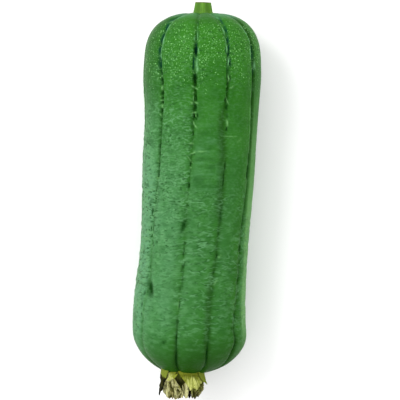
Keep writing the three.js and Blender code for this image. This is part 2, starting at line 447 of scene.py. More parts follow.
@dataclass(frozen=True)
class WaxySkin:
    """The fruit's skin: green, speckled near the stalk, with a pale bloom, painted light and highlights, and
    painted shade in the furrows.
    """

    fresh: Colour = linear(31, 88, 14)
    young: Colour = linear(44, 104, 24)
    # The green of the painted shade that the shade mask lays on.
    deep: Colour = linear(24, 66, 6)
    # The pale bloom, which also carries painted light on the left side and down the right side.
    bloom_and_light: Colour = linear(82, 132, 92)
    haze: Colour = linear(84, 134, 86)
    # The colour of the painted light down the right side.
    right_light: Colour = linear(98, 149, 84)
    # Dark green of the skin's flecks, also used for painted shadow beside the pale strokes and for painted
    # shade in the ripples' troughs.
    fleck_and_shade: Colour = linear(22, 66, 22)
    speck: Colour = linear(122, 184, 108)
    wisp: Colour = linear(92, 144, 96)
    # Painted highlight on the raised lips and stitches, teal near the stalk.
    lip: Colour = linear(100, 152, 90)
    cold_lip: Colour = linear(104, 160, 112)
    # Painted shade in the furrows and their slots, teal near the stalk.
    pit_shade: Colour = linear(6, 52, 5)
    cold_pit_shade: Colour = linear(4, 58, 38)
    rim: Colour = linear(112, 148, 82)
    # The colour of the painted highlight along the shoulder's rim.
    rim_highlight: Colour = linear(84, 137, 104)
    specular: float = 0.03
    roughness: Pair = (0.36, 0.52)
    pale_strokes: Pair = (0.53, 0.6)
    # The painted shadow lines beside the pale strokes: their level and how strong they are.
    stroke_shadows: Pair = (0.47, 0.62)
    large_specks: Pair = (1.5, 0.52)
    small_specks: Pair = (1.05, 0.4)
    grain_depth: float = 0.3
    wrinkle_depth: float = 0.8
    stroke_height: float = 0.2
    speck_height: float = 0.12

    def material(self) -> bpy.types.Material:
        """Make the skin's material.

        Returns:
            The material, which reads the fruit's masks.
        """
        s = Shader("waxy_skin")
        grain = s.noise(1.55, 3, (0.75, 1.3, 0.75))
        blotches = s.noise(4.5, 2, (0.7, 1.25, 0.7))
        base = self.ground(s, grain, blotches)

        waves = s.noise(4.6, 2, (0.42, 1.3, 0.42))
        pale_level, pale_share = self.pale_strokes
        dark_level, dark_share = self.stroke_shadows
        strokes = self.strokes(s, waves, pale_level)
        # Painted shadow: a dark line beside each pale stroke.
        base = s.mix(base, self.fleck_and_shade, s.times(self.strokes(s, waves, dark_level), dark_share))
        base = s.mix(base, self.wisp, s.times(strokes, pale_share))
        small = s.times(self.specks(s, *self.small_specks), 0.6)
        specks = s.math("MAXIMUM", self.specks(s, *self.large_specks), small)
        base = s.mix(base, self.speck, specks)

        # Painted highlight on the raised lips and stitches, teal near the stalk.
        base = s.mix(base, s.mix(self.lip, self.cold_lip, s.mask("cold")), s.mask("lip"))
        base = s.mix(base, self.rim, s.mask("rim"))
        # Painted highlight along the shoulder's rim.
        base = s.mix(base, self.rim_highlight, s.mask("rim_highlight"))
        # Painted shade in the furrows and their slots, teal near the stalk.
        base = s.mix(base, s.mix(self.pit_shade, self.cold_pit_shade, s.mask("cold")), s.mask("pit_shade"))

        wrinkles = s.times(s.noise(2.6, 3, (0.45, 1.6, 0.45)), s.mask("wrinkle"))
        normal = s.bump(grain, self.grain_depth, s.bump(wrinkles, self.wrinkle_depth))
        normal = s.bump(strokes, self.stroke_height, normal)
        return s.finished(
            Base_Color=base,
            Specular_IOR_Level=self.specular,
            Roughness=s.ramp(grain, 0.3, 0.7, *self.roughness),
            Normal=s.bump(specks, self.speck_height, normal),
        )

    def ground(self, s: Shader, grain: Socket, blotches: Socket) -> Socket:
        """The green under the finer marks, with its painted shade, its bloom and painted light, its haze, its
        flecks and the painted shade of the ripples' troughs.

        Args:
            s: The material in the making.
            grain: A fine pattern from 0 to 1.
            blotches: A broad pattern from 0 to 1.

        Returns:
            The colour's output.
        """
        youth = s.plus(s.ramp(s.noise(14, 3), 0.38, 0.62, 0.1, 0.6), s.mask("young"))
        base = s.mix(self.fresh, self.young, youth)
        # Painted shade: darker towards the deep green where the shade mask is high.
        base = s.mix(base, self.deep, s.mask("shade"))
        # The pale bloom and painted light, in a paler colour down the right side.
        base = s.mix(base, s.mix(self.bloom_and_light, self.right_light, s.mask("right_light")), s.mask("bloom_and_light"))

        coarse = s.math("SUBTRACT", s.noise(3.0, 2, (0.6, 1.3, 0.6)), grain)
        spots = s.plus(grain, s.times(s.mask("low"), coarse))
        film = s.times(s.ramp(spots, 0.42, 0.66, 0.0, 0.8), s.ramp(blotches, 0.35, 0.65, 0.45, 1.2))
        base = s.mix(base, self.haze, s.times(s.mask("fuzz"), film))

        gritty = s.plus(s.mask("fuzz"), s.times(s.mask("speck"), 0.72))
        flecks = s.times(s.ramp(s.noise(1.9, 3, (0.65, 1.3, 0.65)), 0.45, 0.3), gritty)
        base = s.mix(base, self.fleck_and_shade, s.times(flecks, 0.75))
        hollows = s.times(s.ramp(blotches, 0.52, 0.32, 0.0, 0.34), s.mask("fuzz"))
        # The dent mask is painted shade in the ripples' troughs.
        return s.mix(base, self.fleck_and_shade, s.plus(hollows, s.mask("dent")))

    def strokes(self, s: Shader, waves: Socket, level: float) -> Socket:
        """Short, broken lines that run round the fruit.

        Args:
            s: The material in the making.
            waves: A pattern from 0 to 1.
            level: The lines run where the pattern has this value.

        Returns:
            1 along a line and 0 away from it.
        """
        line = s.ramp(s.math("ABSOLUTE", s.math("SUBTRACT", waves, level)), 0.055, 0.0)
        broken = s.ramp(s.noise(3.2, 1, (0.6, 1.1, 0.6)), 0.4, 0.54)
        return s.times(s.times(line, broken), s.mask("wrinkle"))

    def specks(self, s: Shader, spacing: float, radius: float) -> Socket:
        """Small raised dots, as many as the mesh's speck mask asks for.

        Args:
            s: The material in the making.
            spacing: About how far apart they are, in millimetres.
            radius: The radius of the largest.

        Returns:
            1 on a bright dot and 0 between them.
        """
        inputs = {"Vector": s.place(), "Scale": 1 / (spacing * MM)}
        dots = s.node("ShaderNodeTexVoronoi", inputs, feature="F1")
        draws = s.node("ShaderNodeSeparateColor", {"Color": dots.outputs["Color"]})
        reach = s.ramp(draws.outputs["Green"], 0.0, 1.0, 0.6 * radius / spacing, radius / spacing)
        inside = s.ramp(s.math("DIVIDE", dots.outputs["Distance"], reach), 1.0, 0.5)
        shown = s.math("LESS_THAN", draws.outputs["Red"], s.mask("speck"))
        bright = s.ramp(draws.outputs["Blue"], 0.0, 0.9, 0.45, 1.0)
        return s.times(s.times(inside, bright), shown)


@dataclass(frozen=True)
class CutStalk:
    """The stalk's stub: yellow-green and ribbed, with a dry cut end."""

    green: Colour = linear(66, 110, 22)
    ribs: Colour = linear(88, 134, 38)
    cut: Colour = linear(122, 124, 60)
    edge: Colour = linear(88, 96, 36)
    specular: float = 0.15
    roughness: float = 0.5

    def material(self) -> bpy.types.Material:
        """Make the stalk's material.

        Returns:
            The material, which reads the stalk's masks.
        """
        s = Shader("cut_stalk")
        streaks = s.noise(1.1, 3, (1.0, 0.12, 1.0))
        ribs = s.times(s.mask("rib"), s.ramp(streaks, 0.3, 0.7, 0.3, 1.0))
        base = s.mix(self.green, self.ribs, ribs)
        base = s.mix(base, self.cut, s.mask("cut"))
        return s.finished(
            Base_Color=s.mix(base, self.edge, s.mask("edge")),
            Specular_IOR_Level=self.specular,
            Roughness=self.roughness,
            Normal=s.bump(streaks, 0.25),
        )


@dataclass(frozen=True)
class DryingLeaf:
    """The calyx: yellow-green where it grows from the fruit, dried brown to black at the tips, with painted
    shade in its grooves and hollows.
    """

    green: Colour = linear(110, 122, 38)
    dry: Colour = linear(50, 50, 8)
    tip: Colour = linear(11, 12, 2)
    specular: float = 0.05
    roughness: float = 0.7

    def material(self) -> bpy.types.Material:
        """Make the calyx's material.

        Returns:
            The material, which reads the flower's masks.
        """
        s = Shader("drying_calyx")
        mottle = s.noise(1.6, 4)
        veins = s.noise(0.8, 3, (1.6, 0.3, 1.6))
        age = s.plus(s.mask("age"), s.ramp(mottle, 0.3, 0.7, -0.12, 0.12))
        age = s.plus(age, s.ramp(veins, 0.3, 0.7, -0.1, 0.1))
        base = s.mix(self.green, self.dry, s.ramp(age, 0.3, 0.62))
        base = s.mix(base, self.tip, s.ramp(age, 0.6, 0.9))
        base = s.mix(base, self.dry, s.times(s.mask("ridge"), s.ramp(age, 0.5, 0.8, 0.0, 0.8)))
        return s.finished(
            # Painted shade: darker towards black in the grooves and hollows.
            Base_Color=s.mix(base, self.tip, s.times(s.mask("fold_shade"), 0.75)),
            Specular_IOR_Level=self.specular,
            Roughness=self.roughness,
            Normal=s.bump(veins, 0.2, s.bump(mottle, 0.3)),
        )


@dataclass(frozen=True)
class WitheredPetal:
    """The petals: yellow-green at the foot, cream on the ridges, partly as painted highlight, and olive to
    black with painted shade in the creases and hollows.
    """

    fresh: Colour = linear(119, 127, 34)
    bright: Colour = linear(188, 193, 110)
    tan: Colour = linear(106, 100, 57)
    cream: Colour = linear(190, 188, 137)
    olive: Colour = linear(42, 45, 2)
    char: Colour = linear(7, 4, 4)
    specular: float = 0.06
    roughness: float = 0.85

    def material(self) -> bpy.types.Material:
        """Make the petals' material.

        Returns:
            The material, which reads the flower's masks.
        """
        s = Shader("withered_petals")
        mottle = s.noise(1.4, 4)
        veins = s.noise(0.7, 3, (1.7, 0.28, 1.7))
        age = s.plus(s.mask("age"), s.ramp(mottle, 0.3, 0.7, -0.14, 0.14))
        dried = s.ramp(age, 0.3, 0.58)
        # Paler on the ridges, partly as painted highlight on raised creases and crumples.
        ridges = s.times(s.mask("ridge"), s.ramp(veins, 0.3, 0.65, 0.6, 1.0))
        base = s.mix(s.mix(self.fresh, self.tan, dried), s.mix(self.bright, self.cream, dried), ridges)
        # Painted shade: olive in the creases and hollows.
        base = s.mix(base, self.olive, s.times(s.mask("fold_shade"), s.ramp(veins, 0.35, 0.7, 1.0, 0.75)))
        base = s.mix(base, self.olive, s.ramp(veins, 0.46, 0.3, 0.0, 0.5))
        base = s.mix(base, self.olive, s.ramp(age, 0.6, 0.95, 0.0, 0.6))
        return s.finished(
            Base_Color=s.mix(base, self.char, s.ramp(age, 0.95, 1.15)),
            Specular_IOR_Level=self.specular,
            Roughness=self.roughness,
            Normal=s.bump(veins, 0.25, s.bump(mottle, 0.3)),
        )


@dataclass(frozen=True)
class PaleFloor:
    """A plain, matte white surface."""

    white: Colour = (0.9, 0.9, 0.9)
    roughness: float = 0.9

    def material(self) -> bpy.types.Material:
        """Make the floor's material."""
        return Shader("pale_floor").finished(Base_Color=self.white, Roughness=self.roughness)


# ---- shells of a piece


@dataclass
class Shells:
    """Closed shells that together make one piece."""

    points: list[Array] = field(default_factory=list)
    faces: Faces = field(default_factory=list)
    masks: dict[str, list[Array]] = field(default_factory=dict)
    count: int = 0

    def add(self, points: Array, faces: Faces, masks: Masks) -> None:
        """Add a shell.

        Args:
            points: Its vertices, in millimetres.
            faces: Its faces' vertex numbers, from 0.
            masks: Numbers for each vertex, under the same names for every shell.
        """
        self.points.append(points)
        self.faces += [[vertex + self.count for vertex in face] for face in faces]
        self.count += len(points)
        for name, values in masks.items():
            self.masks.setdefault(name, []).append(values)

    def make(self, name: str) -> bpy.types.Object:
        """Make the piece from all its shells."""
        masks = {mask: np.concatenate(values) for mask, values in self.masks.items()}
        return make_piece(name, np.concatenate(self.points), self.faces, masks)


def dress(piece: bpy.types.Object, node: str, material: bpy.types.Material) -> None:
    """Give a piece its finish and put it in its node's place on the part.

    Args:
        piece: The finished piece.
        node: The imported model's node that it stands for.
        material: Its material.
    """
    piece.data.materials.append(material)
    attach(piece, ROOT)
    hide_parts(node)
    log.info("%s: %d faces, stands for %s", piece.name, len(piece.data.polygons), node)


# ---- fruit


@dataclass(frozen=True)
class Dome:
    """A rounded end of the fruit, as a superellipse.

    Attributes:
        depth: How far it reaches along the fruit.
        power: 2 is an ellipse, and more is blunter.
    """

    depth: float
    power: float

    def share(self, distance: Array) -> Array:
        """The share of full girth at a distance from the dome's tip."""
        inward = np.clip(1 - distance / self.depth, 0, 1)
        return (1 - inward**self.power) ** (1 / self.power)


class MarkKind(Enum):
    """What breaks up a furrow."""

    SLOT = "a dark stretch where the furrow gapes"
    LIP = "a pale, swollen edge"
    STITCH = "a pale ridge that runs across"
    NICK = "a small dark dent"


@dataclass(frozen=True)
class Mark:
    """One mark in or beside a furrow.

    Attributes:
        kind: What it is.
        start: Where it starts, in millimetres from the stalk end along the fruit.
        end: Where it ends.
        side: How far its middle lies from the furrow, towards growing angles.
        width: Half its width across the furrow.
        depth: How deep or how high it is.
        slant: How far it drifts along the fruit for each millimetre across.
        lean: How far it drifts across for each millimetre along the fruit.
    """

    kind: MarkKind
    start: float
    end: float
    side: float = 0.0
    width: float = 1.0
    depth: float = 1.0
    slant: float = 0.0
    lean: float = 0.0


slot = partial(Mark, MarkKind.SLOT)
lip = partial(Mark, MarkKind.LIP)
stitch = partial(Mark, MarkKind.STITCH)
nick = partial(Mark, MarkKind.NICK)


@dataclass(frozen=True)
class Stretch:
    """A length of one furrow or one lobe where the skin isn't as elsewhere.

    Attributes:
        number: The furrow or lobe. Lobe 0 lies between furrows 0 and 1, and so on.
        start: Where it starts, as a share of the fruit's length.
        end: Where it ends.
        level: How much the skin differs there, from 0 to 1.
    """

    number: int
    start: float
    end: float
    level: float = 1.0


@dataclass
class SkinGrid:
    """The fruit's skin before its relief: rows from the stalk to the scar, columns round it.

    Attributes:
        along: Distance from the stalk end along the axis, one a row.
        share: The same as a share of the fruit's length.
        radius: The fruit's radius over its crowns, one a row.
        radial: The outward normal's part away from the axis, one a row.
        lengthwise: The outward normal's part towards the stalk, one a row.
        height: Y of the profile, one a row.
        angle: Angles round the fruit, in radians, as rows x columns.
        furrow_angle: Angle of each furrow, in radians, as furrows x rows.
        edge: 0 on a lobe's crown and 1 in the furrows beside it, one a column.
        nearest: The nearest furrow, one a column.
        lobe: The lobe, counted by the furrow before it, one a column.
    """

    along: Array
    share: Array
    radius: Array
    radial: Array
    lengthwise: Array
    height: Array
    angle: Array
    furrow_angle: Array
    edge: Array
    nearest: Array
    lobe: Array

    def across(self, furrow: int | Array) -> Array:
        """Measure from a furrow.

        Args:
            furrow: One furrow, or one for each column.

        Returns:
            Signed distances round the skin, in millimetres, as rows x columns.
        """
        furrow_angle = self.furrow_angle[furrow]
        turn = self.angle - (furrow_angle.T if furrow_angle.ndim == 2 else furrow_angle[:, None])
        turn = (turn + math.pi) % (2 * math.pi) - math.pi
        return turn * self.radius[:, None]

    def turn(self) -> Array:
        """Angles round the fruit in degrees, from -180 to 180, as rows x columns."""
        return (np.degrees(self.angle) + 180) % 360 - 180

    def places(self) -> Array:
        """A point in space for each vertex, for noise that has no seam."""
        radius = self.radius[:, None]
        return points_at(radius * np.sin(self.angle), self.height[:, None], radius * np.cos(self.angle))

    def noise(self, seed: int, across: float, along: float, octaves: int = 2) -> Array:
        """Random values from about -1 to 1, in patches of this size round and along the fruit."""
        return Noise(seed).at(self.places() / np.array([across, along, across]), octaves)


@dataclass
class Relief:
    """The skin's relief and the marks on it, all as rows x columns.

    Attributes:
        grid: The skin without them.
        off: How far each vertex lies from its nearest furrow, towards growing angles.
        lower: 0 in the half towards the stalk and 1 in the half towards the flower.
        soft: How soft the furrow is there.
        sunk: How much it is a wide, soft hollow there.
        calm: How smooth the lobe is there.
        rippled: How much the lobe is rippled there.
        outward: How far the skin stands off the crowns' outline.
        pit_shade: Painted shade in the furrows and in their marks.
        lip: The pale of their raised marks, a painted highlight on their crests.
        ripples: The height of the soft ripples, from about -1 to 1.
    """

    grid: SkinGrid
    off: Array
    lower: Array
    soft: Array
    sunk: Array
    calm: Array
    rippled: Array

    def __post_init__(self) -> None:
        """Start with a skin that has no relief and no marks."""
        self.outward = np.zeros_like(self.off)
        self.pit_shade = np.zeros_like(self.off)
        self.lip = np.zeros_like(self.off)
        self.ripples = np.zeros_like(self.off)


@dataclass(frozen=True)
class Patch:
    """An area of the skin with soft edges. Edges past the fruit's own end leave it open there.

    Attributes:
        level: How much the skin differs there.
        turn: Its edges round the fruit, in degrees.
        along: Its edges along the fruit, as shares of its length.
    """

    level: float
    turn: Edges
    along: Edges = (-1, -0.5, 1.5, 2)

    def on(self, grid: SkinGrid) -> Array:
        """The patch's level well inside it and 0 well outside it, as rows x columns."""
        return self.level * band(grid.turn(), self.turn) * band(grid.share[:, None], self.along)


@dataclass
class SkinMasks:
    """Where each part of the skin's finish shows.

    Attributes:
        relief: The skin's relief.
        bloom_and_light_turn: The strength of the pale bloom and of its painted light at each angle, highest
            on the left side.
        bloom_and_light_along: Its strength at each share of the length.
    """

    relief: Relief
    bloom_and_light_turn: Curve = Curve(
        (
            (-180, 0.4), (-95, 0.97), (-62, 0.97), (-46, 0.57), (-14, 0.36), (6, 0.19), (36, 0.15),
            (63, 0.15), (69, 0.5), (95, 0.56), (180, 0.4),
        )
    )
    bloom_and_light_along: Curve = Curve(
        (
            (0, 0.04), (0.1, 0.05), (0.2, 0.12), (0.3, 0.4), (0.5, 0.97), (0.7, 1.08), (0.84, 0.88),
            (0.92, 0.3), (0.97, 0),
        )
    )
    left_side: Patch = Patch(1.0, (-150, -110, -30, 20))
    # Painted light down a strip of the right side.
    lit_right_strip: Patch = Patch(1.0, (65, 68, 85, 100))
    strip_ends: Edges = (0.17, 0.42, 0.85, 0.93)
    # Where the painted light takes its colour for the right side.
    right_light_side: Patch = Patch(1.0, (60, 68, 100, 130))
    young_shoulder: Patch = Patch(0.8, (-50, 0, 80, 110), (-1, -0.5, 0.06, 0.2))
    # Patches of painted shade, which the shade mask adds up:
    shaded_limb: Patch = Patch(0.45, (-130, -100, -60, -38), (-1, -0.5, 0.22, 0.36))
    shaded_end: Patch = Patch(0.2, (-15, 5, 100, 130), (0.84, 0.9, 1.5, 2))
    shaded_top: Patch = Patch(0.1, (-35, -25, 50, 60), (0.35, 0.6, 1.5, 2))
    left_hollow: Patch = Patch(0.5, (-200, -190, -40, -30), (-1, -0.5, 0.58, 0.62))
    right_furrow: Patch = Patch(0.7, (45, 52, 70, 75))
    # Painted shade: less bloom on the lobes' edges on one side of the furrows.
    shaded_lobe_edges: Patch = Patch(0.4, (-50, -40, 60, 75))
    # Painted light and bloom on the left side, near the middle.
    left_light_and_bloom: Patch = Patch(0.13, (-130, -100, -58, -42))
    thin_right: Patch = Patch(0.3, (-12, -4, 100, 130), (0.44, 0.5, 1.5, 2))
    thin_lobe: Patch = Patch(0.3, (18, 28, 60, 66), (0.24, 0.3, 0.56, 0.64))
    fuzzy_limb: Patch = Patch(0.8, (-130, -100, -60, -44), (0.22, 0.34, 1.5, 2))
    even_left: Patch = Patch(0.35, (-150, -110, -30, 20), (0.34, 0.42, 0.64, 0.72))
    even_right: Patch = Patch(0.4, (22, 34, 100, 130))
    rim_radius: Pair = (9.5, 7)
    # The radii over which the rim's painted highlight fades in, away from the stalk.
    rim_highlight_radius: Pair = (8, 15)

    def __post_init__(self) -> None:
        """Lay out the places and the soft patterns that several masks share."""
        self.grid = self.relief.grid
        self.share = self.grid.share[:, None]
        self.turn = self.grid.turn()
        self.patches = 0.5 + 0.5 * self.grid.noise(9, 12, 20)
        self.clouds = np.clip(0.5 + 0.9 * self.grid.noise(15, 7, 9), 0, 1)

    def everything(self) -> Masks:
        """Work out every mask.

        Returns:
            The masks by name, each as rows x columns.
        """
        masks = {
            # The furrows' painted shade.
            "pit_shade": np.clip(self.relief.pit_shade, 0, 1),
            # The painted highlight on the furrows' raised marks.
            "lip": np.clip(self.relief.lip, 0, 0.95),
            "shade": self.shade(),
            # Painted shade in the ripples' troughs.
            "dent": 0.4 * np.clip(-self.relief.ripples, 0, 1),
            "low": smooth(self.share, 0.5, 0.66),
            # The pale bloom and the painted light.
            "bloom_and_light": self.bloom_and_light(),
            # Where the painted light takes its colour for the right side.
            "right_light": self.right_light_side.on(self.grid),
            # Where the furrows' painted shade and highlight turn teal, near the stalk.
            "cold": smooth(self.share, 0.2, 0.13),
            "young": self.young_shoulder.on(self.grid),
            "fuzz": self.fuzz(),
            "speck": self.specks(),
            "rim": smooth(self.grid.radius, *self.rim_radius)[:, None] * (self.share < 0.5),
            # Painted highlight along the shoulder's rim.
            "rim_highlight": self.rim_highlight(),
            "wrinkle": self.wrinkles(),
        }
        return {name: mask + np.zeros_like(self.relief.off) for name, mask in masks.items()}

    def shade(self) -> Array:
        """Painted shade in the deep green: in the furrows, on some sides, beside the stalk and at the blossom
        end.

        Returns:
            Values from 0 to 1, as rows x columns.
        """
        off, lower = self.relief.off, self.relief.lower
        soft, sunk = self.relief.soft, self.relief.sunk
        total = bell(off + 1.9 * sunk, 2.2 + 1.2 * sunk, 2.5)
        total = total * (0.15 + 0.35 * lower * (1 - 0.8 * soft) + 0.65 * sunk)
        total = total + soft * bell(off - 0.8, 2.4, 3) * self.left_hollow.on(self.grid)
        total = total + bell(off - 1.2, 2.2, 3) * self.right_furrow.on(self.grid) * (1 - 0.85 * lower)
        for patch in (self.shaded_limb, self.shaded_end, self.shaded_top):
            total = total + patch.on(self.grid)
        beside_stalk = 0.35 * bell(self.turn - 2, 16) * smooth(self.share, 0.05, 0.025)
        blossom_end = 0.7 * smooth(self.share, 0.86, 0.985)
        return np.clip(total + beside_stalk + blossom_end, 0, 1)

    def bloom_and_light(self) -> Array:
        """The pale bloom with painted light: lighter on the left side, on a strip down the right side and on
        the ripples' crests, and less in the furrows and on the lobes' edges on one side of them, as painted
        shade.

        Returns:
            Values from 0 to 1, as rows x columns.
        """
        off = self.relief.off
        bloom_and_light = self.bloom_and_light_turn.at(self.turn) * self.bloom_and_light_along.at(self.share)
        bloom_and_light = bloom_and_light * (0.8 + 0.4 * self.patches)
        # Painted light down a strip of the right side.
        strip = 0.46 + 0.26 * smooth(self.share, 0.44, 0.56) + 0.1 * smooth(self.share, 0.6, 0.7)
        strip = strip * self.lit_right_strip.on(self.grid) * band(self.share, self.strip_ends)
        bloom_and_light = np.maximum(bloom_and_light, strip) + bell(self.share - 0.52, 0.07) * self.left_light_and_bloom.on(self.grid)
        # Painted shade: less bloom in the furrows and on the lobes' edges on one side of them.
        furrow_shade = 0.5 * bell(off, 1.6) + bell(off + 2.8, 2.8) * self.shaded_lobe_edges.on(self.grid)
        # Painted highlight: paler on the ripples' crests.
        return np.clip(bloom_and_light * (1 - furrow_shade) + 0.25 * np.clip(self.relief.ripples, 0, 1), 0, 1)

    def fuzz(self) -> Array:
        """The fine, pale and dark grain of the skin.

        Returns:
            Values from 0 to about 1, as rows x columns.
        """
        share = self.share
        begun = 0.15 * smooth(share, 0.04, 0.1) + 0.55 * smooth(share, 0.15, 0.34)
        begun = (begun + 0.3 * smooth(share, 0.4, 0.5)) * smooth(share, 0.95, 0.84)
        thin = 0.25 * smooth(share, 0.6, 0.7) + self.thin_right.on(self.grid) + self.thin_lobe.on(self.grid)
        side = 0.55 + 0.55 * self.left_side.on(self.grid) + self.fuzzy_limb.on(self.grid)
        fuzz = begun * (1 - thin) * side * (0.5 + 0.5 * self.clouds)
        return fuzz * self.roughness() + 0.2 * smooth(share, 0.99, 0.9)

    def specks(self) -> Array:
        """The small pale dots on the shoulder.

        Returns:
            Values from 0 to 1, as rows x columns.
        """
        ragged = self.share + 0.035 * self.grid.noise(18, 9, 14)
        sprinkled = smooth(self.share, 0.015, 0.06) * smooth(ragged, 0.22, 0.15)
        dense = 0.3 + 1.1 * self.clouds + 0.5 * self.lit_right_strip.on(self.grid)
        dense = np.clip(dense + 0.42 * bell(self.share - 0.11, 0.045), 0, 1)
        return sprinkled * dense * (0.6 + 0.4 * smooth(self.turn, -60, -30))

    def rim_highlight(self) -> Array:
        """Painted highlight along the rim of the shoulder, thin where the stalk leans over it.

        Returns:
            Values from 0 to 1, as rows x columns.
        """
        rim = smooth(self.share, 0.026, 0.004) * (1 - 0.85 * bell(self.turn - 3, 16))
        rim = rim * (0.25 + 0.75 * smooth(np.abs(self.turn), 85, 60))
        rim = rim * smooth(self.grid.radius, *self.rim_highlight_radius)[:, None]
        return rim * (0.1 + 0.3 * self.patches + 0.3 * self.clouds)

    def wrinkles(self) -> Array:
        """The fine wrinkles and broken lines that run round the fruit.

        Returns:
            Values from 0 to 1, as rows x columns.
        """
        even = (1 - self.even_left.on(self.grid)) * (1 - self.even_right.on(self.grid))
        begun = 0.3 * smooth(self.share, 0.08, 0.2) + 0.7 * smooth(self.share, 0.32, 0.5)
        begun = begun * smooth(self.share, 0.95, 0.82)
        return begun * (0.55 + 0.45 * self.clouds) * self.roughness() * even

    def roughness(self) -> Array:
        """1 where a lobe is as rough as most and less where it is calm."""
        return 1 - 0.85 * self.relief.calm


